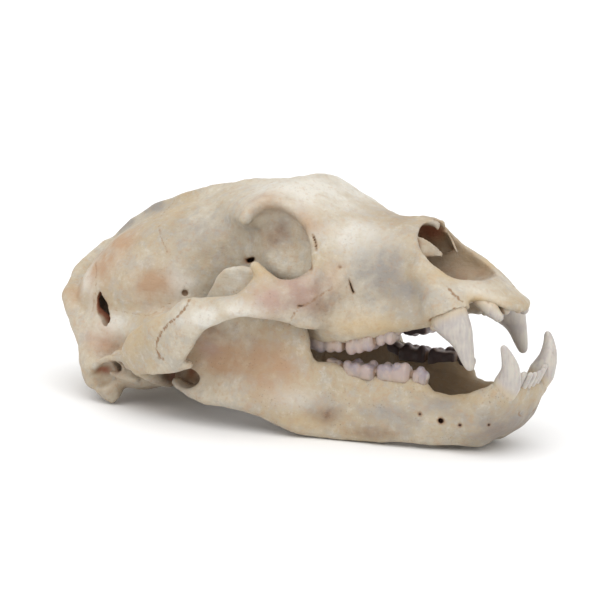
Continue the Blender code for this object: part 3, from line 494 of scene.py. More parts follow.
def add_masses(b):
    """The braincase, the midline crest, the forehead and the snout."""
    b.add(loft(BRAINCASE), 0)
    b.add(ball((-92, 0, 30), (34, 25, 11)), 8)
    b.add(side_plate(CREST_LINE + CREST_ROOT, crest_thickness), 10)
    b.add(loft(FOREHEAD), 11)
    b.add(loft(SNOUT), 5)

# %% [markdown]
# ## The eye's hollow
#
# The eye sits in an open bowl. Its front edge is a raised ring of bone, its roof ends behind in
# a hook, and a spur of the cheek arch answers it from below.

# %% The eye's hollow
ORBIT = (22.5, -47.5, 98.8)
ORBIT_RADII = (25.0, 17.0, 16.5)
ORBIT_FACES = (0.29, -0.70, 0.65)
ORBIT_LONG = (0.60, -0.39, -0.69)


def add_wall_ridges(b):
    """Small ridges on the braincase's side wall, behind the eye."""
    b.add(rod([(-23, -33, 93), (-21.5, -32, 88), (-18, -31, 82)], [0.8, 1.4, 1.2]), 2)
    b.add(rod([(-14.8, -29.4, 92), (-18.4, -31, 86), (-18.2, -31, 79.5)], [0.8, 1.3, 1.2]), 2)


def add_orbit(b):
    """The front root of the cheek, the hollow of the eye and its raised edge."""
    b.add(Sheet([[(50, -30, 88, 8), (52, -31, 76, 9), (50, -33, 64, 7)],
                 [(43, -42, 86, 5.5), (46.5, -43, 75, 6.5), (46, -43, 63.5, 5)],
                 [(36, -53, 80.5, 4.5), (40, -54, 72, 4.5), (39.5, -54, 62.5, 3.3)]]), 7)
    b.add(ball((22, -17, 88), (30, 23, 23)), 10)
    b.cut(ball(ORBIT, ORBIT_RADII, facing(ORBIT_FACES, ORBIT_LONG)), 5)
    b.add(rod([(-6.4, -31, 86.2), (-4.6, -30.6, 92), (-0.6, -30, 96.8), (4, -30, 98.4)],
              [1.5, 1.7, 1.6, 1.2]), 2.5)
    b.add(rod([(-0.5, -47, 108.3), (0, -43, 112.6), (2.8, -38.5, 115.6), (7, -35.5, 116.8),
               (12.4, -33, 116.3), (18.2, -32, 114.3), (23.7, -32, 111.5), (29.4, -33.7, 107.4),
               (34.1, -36, 102.5), (37.6, -38.2, 97.2), (41.4, -42.8, 91.2), (43.6, -48.8, 84.4),
               (41.5, -54.5, 80)],
              [2.7, 3.1, 3.1, 3, 2.9, 2.8, 2.7, 2.7, 2.8, 3, 3.3, 3.6, 3.8], 2), 4)
    b.add(rod([(47.5, -37, 93.4), (50.4, -37.2, 89.4), (51.8, -38.4, 84.9), (51.8, -40.6, 80),
               (49.8, -44.8, 77.6)], [2, 2.2, 2.5, 2.6, 2.4], 2), 5)

# %% [markdown]
# ## The palate and the cheek arch
#
# The upper teeth stand in thick rails of bone with a vault between them. From the snout's side
# the cheek arch swings out and back, a strap 10 to 20 mm tall, to the jaw socket.

# %% The palate
FANG_DOWN = (0.475, -0.1, -0.875)


def add_palate(b):
    """The bone that holds the cheek teeth and fangs, the vault between, and the throat plates."""
    b.add(rod([(33, -31, 55.6), (44, -32, 55.6), (56, -31.5, 58), (70, -30, 61.8), (84, -28, 66),
               (98, -26, 70.4)], [6.5, 8, 8, 7.5, 7, 7]), 10)
    bulge = rod([(92, -23.5, 90), (101, -25.6, 82), (107, -27.4, 74.5), (112, -28.6, 67)],
                [6.5, 8.8, 10.6, 11.6])
    b.add(clipped(bulge, (109.6, -31, 71), FANG_DOWN), 5)
    b.add(ball((14, 0, 66), (34, 19, 13)), 8)
    b.cut(rod([(18, 0, 57), (4, 0, 54), (-14, 0, 45)], [8, 10, 9]), 3)
    b.add(Sheet([[(18, -14, 62, 2.5), (16, -14.5, 53, 2)],
                 [(2, -12.5, 64, 2.5), (1, -13.5, 51, 1.8)],
                 [(-14, -12, 60, 2.5), (-13, -13.5, 46, 1.8)],
                 [(-24, -13, 54, 3), (-27, -13.5, 40, 1.8)]]), 4)
    b.cut(rod([(22, 0, 46), (45, 0, 50.5), (70, 0, 57), (95, 0, 64.5), (112, 0, 70)],
              [12, 14.5, 13.5, 11.5, 7], flat=(0, 1, 0), squash=1.45), 4)

# %% The cheek arch
def add_arch(b):
    """The cheek arch, from the snout round to the jaw socket, as a strap with an eye spur."""
    b.add(Sheet([[(48, -36, 86, 5), (50, -37, 75, 6.5), (49, -38, 64, 5)],
                 [(42.5, -44.8, 82.5, 4.5), (46, -45, 74.5, 5.5), (46.3, -46, 62, 3.8)],
                 [(37, -53, 79.2, 4), (41, -54, 72.5, 4.3), (40.5, -54, 61.5, 3)],
                 [(28.5, -58.8, 79.4, 3.4), (32.5, -62, 74, 4), (32.5, -64, 65.5, 3)],
                 [(20.5, -61.5, 82, 2.7), (24, -68.5, 76, 4), (25, -73, 67, 3)],
                 [(14, -67.5, 73.4, 2.7), (15, -74.5, 70.5, 3.6), (16, -79, 66.2, 3)],
                 [(6, -73.5, 69.4, 2.8), (6, -78, 66.5, 3.6), (6.5, -81.5, 62.4, 3.2)],
                 [(-5, -76.5, 67.3, 3.2), (-4, -80.5, 61.5, 4), (-3.2, -82.5, 55.6, 3.4)],
                 [(-13, -79, 66, 3.6), (-14, -81, 54, 4), (-15, -79.5, 41, 3.4)],
                 [(-25, -78, 57, 3.6), (-24, -77.8, 46, 3.6), (-23.5, -75.5, 32.5, 3)],
                 [(-37.5, -75, 50.5, 4), (-36, -75, 40, 3.4), (-36, -73.5, 28, 3)],
                 [(-48, -71.5, 42, 4.5), (-49, -71, 34, 3.6), (-49.5, -68, 26.5, 3)],
                 [(-57.5, -65.5, 32, 3), (-58, -65.5, 29.5, 3), (-58.5, -64, 26.5, 2.6)]]), 3)
    b.add(rod([(-26, -74.5, 32), (-13.5, -74.5, 34.2)], [3, 1.9]), 3)
    b.add(rod([(25, -62, 80), (20, -62, 84.5), (16.6, -62.6, 87.6)], [3.6, 3.2, 2.5]), 3)

# %% [markdown]
# ## Behind the cheek
#
# Here the skull is at its most crowded: the shelf over the jaw joint, the stop behind it, the
# ear's bulb and opening, two points for the neck muscles, and the raised edge at the back.

# %% The jaw socket and the ear
def add_jaw_socket(b):
    """The shelf over the jaw joint and the stop behind it."""
    b.add(Sheet([[(-62, -42, 38, 8), (-60, -56, 33, 6), (-57, -66, 33.5, 4)],
                 [(-48, -42, 48, 6), (-47, -57, 46, 3.5), (-46.5, -71, 42, 4.2)],
                 [(-35, -40, 52, 6), (-33, -56, 49, 3.2), (-34, -74, 47.5, 4.5)],
                 [(-29, -38, 54, 5), (-31, -58, 50.5, 2.4), (-23, -76.5, 54, 4)]]), 6)
    b.add(Sheet([[(-55, -36, 36, 5), (-53, -38, 24, 4), (-50, -40, 15, 3.2)],
                 [(-53, -50, 36, 4), (-51, -50, 25, 3.8), (-47, -50, 17, 3.2)],
                 [(-51.5, -66, 36, 3.4), (-51, -66, 30, 3.2), (-50, -66, 24.5, 2.8)]]), 4)


def add_ear_region(b):
    """The ear bulb, ear opening and the shelf above it, and the two points behind the ear."""
    b.add(ball((-69, -38, 18.5), (19, 18, 11)), 6)
    b.add(rod([(-64, -38, 25), (-70, -54, 23)], [9, 8]), 4)
    b.add(rod([(-56, -46, 44), (-68, -43, 41), (-82, -41, 37)], [7.5, 8.5, 9]), 8)
    b.add(rod([(-91, -42, 36), (-89.5, -48, 23), (-83, -52.5, 13), (-77.5, -53, 6.8)],
              [12.7, 10, 7.6, 5.4]), 6)
    b.add(rod([(-79, -53.5, 5), (-76.8, -53.8, 1.8)], [3.4, 1.5]), 2)
    b.add(rod([(-99, -36, 26), (-96, -43, 15), (-89.5, -46, 9)], [8.6, 5.4, 2.6]), 3)
    b.cut(ball((-81, -60, 16), (11, 8, 6.6), turned(28)), 2.5)
    b.add(rod([(-56, -66.5, 30.5), (-65.5, -63.8, 28.4), (-75.5, -60.8, 26.2), (-85, -57.6, 21.4),
               (-93.5, -54, 14.5)], [2.6, 1.9, 1.6, 1.6, 2.2]), 1.8)
    b.cut(ball((-70.8, -58, 22.2), (4.6, 13, 3.2)), 0.8)
    b.add(rod([(-75, -57.5, 18.2), (-68, -58.5, 18), (-60.5, -55, 16.4)], [1.3, 1.6, 1.9]), 1.5)

# %% The back wall
def add_back(b):
    """The back wall, its raised neck edge and the joint knob beside the spinal opening."""
    b.add(Sheet([[(-121.5, 4, 74.5, 4), (-121, 4, 60, 6), (-114, 4, 46, 7)],
                 [(-126, -5, 70.2, 3.2), (-121, -6, 59, 6), (-114, -8, 46, 7)],
                 [(-128, -15, 62.3, 3.2), (-120, -16, 54, 6), (-113, -17, 42, 8)],
                 [(-123.5, -27.5, 56.5, 3.2), (-116, -27, 48, 7), (-109, -27, 34, 8.5)],
                 [(-120, -37, 52, 3), (-112, -36, 42, 7), (-104, -35, 28, 8.3)],
                 [(-114.8, -41.5, 46, 3), (-107, -40, 37, 7), (-98.5, -38, 24, 8.3)],
                 [(-101, -47, 35, 3.5), (-96, -44, 30, 7), (-91, -42, 20, 8)],
                 [(-94, -50, 22, 3.6), (-91, -48.5, 20, 6), (-87, -47, 17, 6)]]), 6)
    b.add(rod([(-127, 0, 69.6), (-127.5, -12, 64.8), (-124.2, -25, 59), (-119.8, -36, 53),
               (-114.6, -42, 46.5), (-103, -47.5, 36.5), (-97, -50.5, 28), (-95.8, -51, 19.5),
               (-91, -52.5, 11)],
              [3.2, 3, 2.8, 2.8, 2.8, 3, 3, 3.2, 4]), 4)
    b.add(ball((-112, -17, 25), (11.5, 10.5, 12), turned(0, 25)), 5)

# %% The cavities
SPINAL_OPENING = 11.3


def cut_cavities(b):
    """The nasal passage with its thin scrolls, the nose bones' tips, and the spinal cord's way in."""
    b.cut(loft(NASAL_PASSAGE), 1.5)
    b.cut(side_plate(NOSE_EDGE + OVER_NOSE, lambda x, z: 60 + 0 * x * z, 1.0), 1.5)
    b.add(rod([(76, -3.5, 112), (83, -3.2, 111.9), (87.4, -2.6, 111.3)], [1.7, 1.5, 1.2]), 2)
    b.add(rod([(87, -3, 111.2), (88.4, -3.6, 109.4)], [1.2, 0.8]), 1)
    b.add(Sheet([[(70, -17, 106, 0.8), (70, -18, 100, 0.8), (70, -18, 92, 0.9)],
                 [(82, -15, 105.4, 0.7), (83, -16.5, 100, 0.7), (84, -17, 94.5, 0.8)],
                 [(88, -11.5, 103, 0.6), (89, -12.5, 99.5, 0.6), (89.5, -14, 96.5, 0.7)],
                 [(93.5, -7, 97.8, 0.6), (94, -7.6, 97, 0.6), (94.4, -8, 96, 0.6)]]), 0.5)
    b.add(Sheet([[(68, -7, 97, 0.8), (68, -4, 91, 0.8), (68, -9, 84, 0.8)],
                 [(82, -9, 91, 0.7), (82, -6, 88, 0.7), (82, -11, 83, 0.8)],
                 [(90, -10, 86.5, 0.6), (90, -8.5, 85, 0.6), (90, -12, 82.5, 0.7)]]), 0.5)
    b.cut(rod([(-130, 0, 33), (-113, 0, 36), (-84, 0, 41)], [SPINAL_OPENING, SPINAL_OPENING, 13]), 3)

# %% [markdown]
# ## The lower jaw
#
# One bent sheet makes the whole bone, thick along the tooth row and thin as card in the blade
# that the chewing muscle pulled on. Rods and balls add the joint, the heel and the chin.

# %% The lower jaw
JAW_JOINT = (-38.5, -54.0, 35.0)

JAW_ROWS = [
    [(128, -20.3, 29.3, 5), (128, -21, 25.6, 6.5), (127, -19, 19.5, 7.5), (124, -15, 13, 6.5),
     (122, -12, 7.4, 5.2)],
    [(114, -21, 25, 4.2), (115, -21.5, 21.5, 6), (114, -21.5, 16, 7), (112, -20.5, 12, 6.5),
     (110, -19.5, 7.7, 5.2)],
    [(101.5, -23, 25.4, 4.2), (101, -24, 21.5, 6), (100, -25, 17, 7), (99, -25.5, 12.5, 6.5),
     (98, -25.5, 7.4, 5.2)],
    [(85, -25, 31, 4.6), (85, -27, 25, 6.3), (85, -29, 18, 7.2), (85, -30, 12, 6.5), (85, -30.5, 6.9, 5.2)],
    [(70, -28, 29.5, 4.8), (70, -30, 24, 6.5), (70, -33, 17, 7.2), (70, -34, 11, 6.5),
     (70, -34.5, 5.9, 5.2)],
    [(56, -31, 30, 4.8), (56, -34, 24, 6.5), (55, -38, 16, 7.2), (54, -39.5, 10, 6.3), (53, -40, 5.2, 5.2)],
    [(49, -36, 34.4, 4.5), (48, -40, 27, 6), (47, -43.5, 19, 7), (46, -44, 12, 6.2), (45, -43.5, 5.2, 5)],
    [(40, -44.5, 38.4, 3), (41, -46.5, 31, 4.6), (41, -48.5, 22, 6), (39, -49, 14, 5.8),
     (37, -48.3, 6.8, 5)],
    [(34.8, -46, 61, 2.6), (35.4, -47.3, 46, 3.2), (34.5, -50.3, 31, 4), (31, -52, 19, 4.8),
     (28, -51, 9.4, 5)],
    [(25, -50.5, 75, 2.7), (25, -51, 56, 2.5), (22, -52, 38, 2.7), (17, -55, 22, 4), (14, -55.3, 14.8, 5)],
    [(9, -54, 82.5, 2.5), (8, -53, 60, 2.2), (6, -52.5, 40, 2.4), (2, -56, 26, 3.5), (0, -58, 15.9, 4.6)],
    [(-5, -55, 81, 2.4), (-7, -53.5, 60, 2.2), (-9, -52.5, 42, 2.5), (-11, -55, 27, 3),
     (-12, -58.5, 15.6, 4)],
    [(-14.5, -55, 66, 2.2), (-16, -54, 54, 2.3), (-20, -54.5, 43, 3), (-18, -55.5, 32, 3),
     (-19, -58, 17.2, 3.6)],
    [(-18.5, -55, 60, 1.8), (-21, -54.5, 50, 2), (-28, -55, 41, 2.6), (-29.5, -55.5, 35, 2.4),
     (-24, -58, 17.4, 3.2)]]


def add_jaw(b):
    """One half of the lower jaw, with its joint, heel and chin."""
    b.add(Sheet(JAW_ROWS, 3, 3), 0)
    b.add(rod([(87, -25, 31.4), (96.4, -24.6, 30.6)], [4.4, 3.6]), 3)
    b.add(rod([(-10, -54, 45), (-24, -55, 43), (-37, -55, 36)], [3.5, 4.6, 6]), 4)
    b.add(ball(JAW_JOINT, (7, 14, 7.2)), 3)
    b.add(rod([(-12, -58.3, 16), (-23, -57.5, 16.4), (-34, -55.5, 19.2)], [4, 3.4, 2.4]), 3)
    b.add(Sheet([[(-14, -50, 40, 2.5), (-14, -50, 28, 2), (-14, -52, 18, 2.5)],
                 [(-25, -48, 38, 2.5), (-25, -47, 28, 1.8), (-25, -50, 19, 2.2)],
                 [(-38, -47, 32, 2), (-40, -46.5, 26, 1.6), (-38, -49, 20, 1.8)]]), 3)
    b.cut(ball((-25.5, -60, 23.4), (8.6, 9.5, 5.4)), 1)
    b.add(ball((127, -5, 16.6), (19, 16.5, 9.9), turned(33)), 6)
    b.add(ball((136.4, -5, 27.6), (11.6, 18, 7.2), turned(50)), 5)
    b.add(ball((116, -4, 12.3), (15, 12, 7.3), turned(8)), 6)
    b.add(rod([(122, -17.5, 18), (131, -19, 26), (136.5, -19.5, 32)], [7.5, 7.5, 7]), 4)

# %% [markdown]
# ## Teeth
#
# A bear's fangs are stout and round, and its back teeth low and bumpy, since it eats roots and
# berries as much as meat.

# %% Teeth
# Fangs: places from root to tip, the radii there, and how thick one is from side to side, as a share
UPPER_FANG = ([(101, -25.4, 82), (106.6, -27.4, 75), (111.2, -28.8, 69.4), (116.4, -29.6, 64),
               (119, -29.8, 60), (120.9, -29.8, 56), (122.4, -29.8, 52), (123.7, -29.7, 48.6),
               (124.3, -29.6, 47)],
              [6, 8.4, 9.8, 7.5, 5.9, 4.8, 4, 3.1, 2.5], 0.85)
LOWER_FANG = ([(131, -18.4, 24), (136.6, -18.8, 31), (140.6, -19.4, 38.3), (142.8, -21.2, 46),
               (142, -23.4, 52.5), (140.2, -24.8, 57.4)], [4.5, 6.2, 6.9, 4.9, 3.3, 1.8], 0.85)
# Cheek teeth: rear and front x, y, width, height of the neck, height of the crown, rise along x,
# then the cusps: place along and across and height, as shares of the crown's, and radius
UPPER_CHEEK_TEETH = [
    ((32.5, 54.6, -30, 14.5, 49.6, 6.6, 0.1), [(.36, -1, 1.05, 1.8), (.62, -1, 1, 1.7),
                                               (.86, -1, .95, 1.5), (.3, .9, .95, 1.8),
                                               (.7, .9, .95, 1.8)]),
    ((55, 71.2, -29.8, 13.5, 52.6, 7.4, 0.2), [(.2, -1, 1.08, 1.9), (.5, -1, 1, 1.6), (.83, -1, .9, 1.8),
                                               (.3, .9, .9, 1.8), (.75, .9, .9, 1.8)]),
    ((71.6, 82.4, -28.8, 10, 57, 5.4, 0.2), [(.22, -1, 1.15, 1.5), (.72, -1, 1.1, 1.6),
                                             (.5, .9, .8, 1.6)])]
LOWER_CHEEK_TEETH = [
    ((44, 52.8, -31.5, 8.5, 35.6, 4, -0.3), [(.6, 0, .95, 1.6)]),
    ((53, 71, -28.8, 11.5, 33.6, 6.4, 0.02), [(.14, -1, 1.06, 1.6), (.42, -1, .98, 1.7),
                                              (.76, -1, .98, 1.7), (.3, .9, 1.15, 1.6),
                                              (.8, .9, 1.18, 1.6)]),
    ((71.4, 89.8, -26.8, 9.6, 34.2, 7.2, 0.1), [(.14, -1, .96, 1.6), (.3, -.8, 1, 1.5),
                                                (.62, -.9, 1.12, 1.9), (.84, -.5, 1.14, 1.8),
                                                (.2, .9, 1.05, 1.4)]),
    ((90.8, 98.6, -25.2, 6, 35, 4.6, 0), [(.5, -.2, 1.5, 1.5), (.12, 0, .95, 1.2), (.88, 0, 1.0, 1.2)])]
# Small teeth, each a short bar from root to tip: two points and two radii
UPPER_SMALL_TEETH = [((118.5, -14.5, 78.4), (126.8, -14.5, 73.8), 3, 3.7),
                     ((126.8, -14.5, 73.8), (130.8, -14.2, 70.7), 3.7, 2.7),
                     ((128.4, -8, 75.6), (131.6, -8.6, 73.6), 2.2, 2.6),
                     ((133.8, -2.8, 75.4), (136, -2.9, 73.6), 1.8, 2.0),
                     ((81, -28, 61.5), (82, -28.4, 58.6), 2.4, 2.1),
                     ((101, -27.3, 66), (102, -27.8, 63.4), 2.2, 1.9)]
LOWER_SMALL_TEETH = [((141, -2.4, 30), (146.6, -2.5, 41), 2.2, 2.1),
                     ((141, -6.8, 31), (146.4, -7.1, 41.4), 2.4, 2.2),
                     ((139.5, -11.4, 31.5), (145, -11.8, 42), 2.7, 2.5)]
# How full a cheek tooth is along its length: share of the length, share of width and height
FULLNESS = [(0, 0.35), (0.05, 0.75), (0.2, 1), (0.5, 0.92), (0.8, 1), (0.95, 0.78), (1, 0.35)]
CROWN_SQUARENESS = 3.2
CROWN_ROOT = 2.5
TOOTH_BLEND = 1.0
CUSP_BLEND = 1.3


def shifted(form, y):
    """The same form moved sideways."""
    distance, low, high = form
    return lambda px, py, pz: distance(px, py - y, pz), low + (0, y, 0), high + (0, y, 0)


def cheek_tooth(b, crown, cusps, up):
    """A low squarish crown with cusps on it; up is 1 on the lower jaw and -1 on the upper."""
    rear, front, y, width, neck, height, rise = crown
    long = front - rear
    stations = []
    for share, full in FULLNESS:
        at = neck + rise * (share - 0.5) * long
        root, bite = at - up * CROWN_ROOT, at + up * height * (0.45 + 0.4 * full)
        stations.append((rear + long * share, max(root, bite), min(root, bite), width / 2 * full,
                         at + up * height * 0.35, CROWN_SQUARENESS))
    b.add(shifted(loft(stations), y), TOOTH_BLEND)
    for along, across, tall, radius in cusps:
        at = neck + rise * (along - 0.5) * long
        x, side = rear + long * along, y + across * (width / 2 - 1.7 * radius)
        b.add(rod([(x, side, at + up * height * 0.4), (x, side, at + up * (height * tall - 1.5 * radius))],
                  [radius * 1.6, radius * 1.5]), CUSP_BLEND)


def add_teeth(b, fang, cheek_teeth, small_teeth, up):
    """The teeth of one side, rooted in the bone."""
    points, radii, squash = fang
    b.add(rod(points, radii, 4, (0, 1, 0), squash), TOOTH_BLEND)
    for root, tip, wide, narrow in small_teeth:
        b.add(rod([root, tip], [wide, narrow]), TOOTH_BLEND)
    for crown, cusps in cheek_teeth:
        cheek_tooth(b, crown, cusps, up)

# %% [markdown]
# ## Holes and slits
#
# Blood vessels and nerves leave a skull through small holes, which slant inward and back. On the
# right of the braincase there is also a ragged hole where the thin bone has broken.

# %% Holes and slits
INWARD = np.array([-0.513, 0.837, -0.191])
# Round holes: place, radius, depth, and darkness of the painted shade in them
CRANIUM_HOLES = [((-40.3, -41.4, 63.9), 1.7, 1, 0.3), ((53.1, -40, 89.3), 0.8, 3, 0.5),
                 ((-29.3, -79, 36.4), 0.5, 1, 0.5), ((-26.4, -79, 36.2), 0.5, 1, 0.5),
                 ((102.6, -33, 67.6), 0.6, 1, 0.4)]
JAW_HOLES = [((110, -29.6, 16.7), 1.7, 4, 1), ((99.3, -32.2, 19), 1.0, 3, 1),
             ((119.8, -27.5, 15.8), 0.9, 3, 1), ((133.9, -23.5, 17.4), 0.7, 3, 0.8)]
# Slits: the places along them, half width, depth, and darkness of the painted shade in them
CRANIUM_SLITS = [([(57.5, -38, 83), (58.6, -37.5, 79.9), (60, -37, 76.6)], 0.8, 4, 0.2),
                 ([(34, -36.5, 103), (36.6, -37.5, 99.4), (38, -39, 96)], 0.5, 3, 0.35),
                 ([(38.6, -46, 90.2), (42, -50.4, 88.4)], 0.8, 3, 0.5),
                 ([(-9, -29, 83.6), (-5.6, -29.5, 85)], 1.2, 5, 0.6),
                 ([(39.7, -57, 69.7), (42.4, -56, 70.4)], 0.4, 2, 0.5)]
BROKEN_EDGE = [(-92.7, 59), (-89.9, 56), (-86.9, 53), (-85.4, 49.5), (-83, 44.8), (-84.7, 41.2),
               (-87.6, 44.6), (-91.2, 47), (-93.6, 49.6), (-94.4, 54.5)]
BROKEN_FLOOR_Y = -34
BROKEN_REACH = 64.0
BROKEN_HOLLOW = ((-97, -37.5, 48.5), (9.5, 6, 12.5))
DRILL_START = 9.0
DRILL_BLEND = 0.4


def drill(b, holes, slits):
    """Round holes and slits that run inward from the surface."""
    for place, radius, depth, _ in holes:
        b.cut(rod([place - DRILL_START * INWARD, place + depth * INWARD], [radius, radius * 0.8]),
              DRILL_BLEND)
    for line, half_width, depth, _ in slits:
        rows = [[(*(place - DRILL_START * INWARD), half_width),
                 (*(place + depth * INWARD), half_width * 0.6)] for place in np.array(line)]
        b.cut(Sheet(rows, 2, 1), DRILL_BLEND)


def break_right_side(b):
    """The ragged hole in the right side of the braincase."""
    prism = side_plate(BROKEN_EDGE, lambda x, z: BROKEN_REACH + 0 * x * z, 0.2, 1)
    b.cut(clipped(prism, (0, BROKEN_FLOOR_Y, 0), (0, 1, 0)), 0)
    b.cut(ball(*BROKEN_HOLLOW), 1)

# %% [markdown]
# ## Blocks for the bones and the teeth
#
# The bone and the teeth get blocks of their own, because enamel has a sharper shape and another
# finish than bone. Where a tooth leaves its socket it simply passes through the bone's surface.

# %% Blocks for the bones and the teeth
CRANIUM_CELL = 0.94
JAW_CELL = 0.8
TOOTH_CELL = 0.5
CELLS_PAST_MIDLINE = 3
CRANIUM_STEPS = (add_masses, add_orbit, add_wall_ridges, add_palate, add_arch, add_jaw_socket,
                 add_ear_region, add_back, cut_cavities)


def right_half(low, high_x, high_z, cell):
    """An empty block for the right side."""
    return Block(low, (high_x, CELLS_PAST_MIDLINE * cell, high_z), cell)


def bone_block(b, steps, holes, slits):
    """Both sides of a bone that is built in these steps and then drilled."""
    for step in steps:
        step(b)
    drill(b, holes, slits)
    return b.both_sides()


def teeth_block(b, *teeth):
    """Both sides of a jaw's teeth."""
    add_teeth(b, *teeth)
    return b.both_sides()


cranium = bone_block(right_half((-142, -92, -4), 148, 136, CRANIUM_CELL), CRANIUM_STEPS,
                     CRANIUM_HOLES, CRANIUM_SLITS)
break_right_side(cranium)
jaw = bone_block(right_half((-54, -84, -4), 156, 94, JAW_CELL), (add_jaw,), JAW_HOLES, [])
upper_teeth = teeth_block(right_half((26, -42, 36), 146, 92, TOOTH_CELL),
                          UPPER_FANG, UPPER_CHEEK_TEETH, UPPER_SMALL_TEETH, -1)
lower_teeth = teeth_block(right_half((38, -40, 20), 156, 64, TOOTH_CELL),
                          LOWER_FANG, LOWER_CHEEK_TEETH, [], 1)
print("blocks", [b.value.shape for b in (cranium, jaw, upper_teeth, lower_teeth)])

# %% [markdown]
# ## Marks on the bone
#
# Old bone is never one colour. Some stains belong to a place: tan where earth lay against it,
# grey where mould grew, rose in the jaw's hollow. Two grey blobs along the back of the crest are
# painted shade, and some pale blobs are painted light on places that lie in shade. Each is a soft
# blob in space, and each point of the mesh stores how far it is inside one. Seams, where two bones
# have grown together, are lines drawn on the surface. How deep a point lies in a hollow is stored
# too, because painted shade, with some dust, goes there.

# %% Stains
# Blobs of colour: centre, radii and strength. The left side has the same ones.
STAINS = {
    "tan": [((-88, -34, 83), (13, 12, 12), 0.9), ((-94, -40, 73), (13, 12, 15), 1.0),
            ((-57, -47, 66), (14, 10, 11), 0.85), ((-114, -39, 53), (9, 9, 9), 0.5),
            ((-83, -53, 32), (13, 9, 8), 0.5), ((6, -37, 117), (13, 8, 6), 0.7),
            ((28, -35, 110), (14, 8, 9), 0.4), ((22, -56, 36), (20, 10, 16), 0.8),
            ((-4, -56, 36), (18, 10, 12), 1.0), ((51, -42, 84), (6, 6, 9), 0.5),
            ((-100, -40, 24), (12, 14, 14), 0.4)],
    "rose": [((41, -57, 77), (13, 12, 9), 1.0), ((30, -66, 74), (13, 10, 8), 0.9),
             ((-14, -56, 41), (6, 7, 5), 0.9), ((-88, -52, 36), (9, 8, 7), 0.5)],
    # The first two grey blobs, on the crest at the back, are painted shade; the others are stains
    "grey": [((-92, 0, 100), (19, 10, 6), 1.0), ((-106, 0, 89), (12, 8, 8), 0.9),
             ((70, -30, 91), (16, 12, 15), 0.8), ((84, -31, 79), (17, 12, 11), 0.7),
             ((108, -27, 23), (22, 10, 7), 0.6), ((137, -14, 14), (16, 18, 12), 1.2),
             ((82, -36, 16), (26, 10, 8), 0.5), ((-34, -32, 96), (26, 16, 16), 0.45),
             ((52, -47, 18), (14, 8, 9), 0.4), ((98, -31, 76), (12, 10, 10), 0.5)],
    # Some pale blobs are painted light on places that lie in shade; the others are pale bone
    "pale": [((-104.6, -41, 64), (7, 9, 8), 0.9), ((-97, -46, 53), (5, 8, 14), 0.7),
             ((-44, -43, 69), (9, 9, 9), 0.8), ((0, -84, 62), (17, 9, 7), 0.9),
             ((20, -78, 67), (15, 10, 6), 0.8), ((-78, -50, 43), (14, 9, 7), 0.7),
             ((20, -16, 122), (44, 28, 12), 0.8), ((54, -27, 104), (18, 14, 12), 0.9),
             ((-2, -54, 80), (13, 8, 9), 0.5), ((36, -53, 22), (20, 8, 7), 0.5),
             ((121, -22, 84), (12, 14, 8), 0.6)],
    "yellow": [((-62, -18, 101), (7, 18, 7), 0.6), ((-50, -74, 42), (12, 10, 11), 0.5),
               ((18, -63, 81), (9, 7, 10), 0.7), ((66, -37, 60), (34, 10, 7), 0.6),
               ((44, -50, 9), (16, 9, 5), 0.6), ((110, -32, 67), (13, 9, 5), 0.9),
               ((112, -25, 30), (18, 8, 4), 0.7), ((120, -18, 78), (12, 10, 4), 0.7),
               ((-30, -80, 57), (7, 7, 6), 0.6), ((104, -25, 90), (16, 12, 6), 0.5)],
    "umber": [((8, -30, 99), (8, 9, 8), 0.7), ((38, -56, 74), (9, 9, 7), 0.45),
              ((136, -14, 13), (12, 14, 8), 0.35), ((52, -46, 14), (8, 8, 5), 0.6),
              ((76, -38, 7), (15, 8, 4), 0.6), ((-11, -55, 49), (9, 7, 4), 0.6),
              ((47, -48, 73), (7, 8, 10), 0.8), ((-42, -44, 20), (14, 16, 9), 0.8),
              ((-24, -52, 23), (9, 8, 8), 0.9), ((64, 0, 93), (26, 17, 18), 1.0),
              ((97, -4, 87), (17, 12, 7), 1.3), ((-71, -56, 21), (8, 8, 5), 0.8),
              ((40, 0, 66), (60, 22, 10), 0.5), ((-74, -40, 8), (24, 20, 7), 0.6),
              ((-88, -46, 12), (10, 10, 8), 0.5)]}
# How quickly a blob's edge fades, and how far along the line of sight a drawn line is seen
EDGE_FADE = 1.2
LINE_DEPTH = 8


def on_right_side(points):
    """The points, those of the left side mirrored to the right."""
    made = points.copy()
    made[:, 1] = -np.abs(made[:, 1])
    return made


def stain(points, blobs):
    """How strongly each point lies in the blobs; 1 is full strength."""
    on_right = on_right_side(points)
    found = np.zeros(len(points))
    for centre, radii, strength in blobs:
        away = (((on_right - centre) / radii) ** 2).sum(axis=1)
        found = np.maximum(found, strength * np.exp(-EDGE_FADE * away))
    return found

# %% Dark places
# Painted shade, dark red-brown, in deep places where no light gets in: centre, radii and strength
PIT_SHADE_BLOBS = [((-92, -40, 49.5), (13, 9, 16), 1.6), ((-84, -50, 18.5), (8, 8, 4.5), 1.0),
        ((-77, -48, 9), (5, 9, 5), 0.9), ((-50, -42, 15), (10, 14, 8), 1.0),
        ((-9, -30, 84), (4, 5, 3.5), 0.7), ((36.5, -42, 47), (5, 10, 10), 0.7),
        ((-28, -50, 24), (6, 9, 7), 0.6), ((100, -8, 85), (26, 14, 7), 0.9),
        ((74, -9, 104), (12, 12, 9), 1.0), ((88, -12, 97), (5, 8, 3), 0.5)]

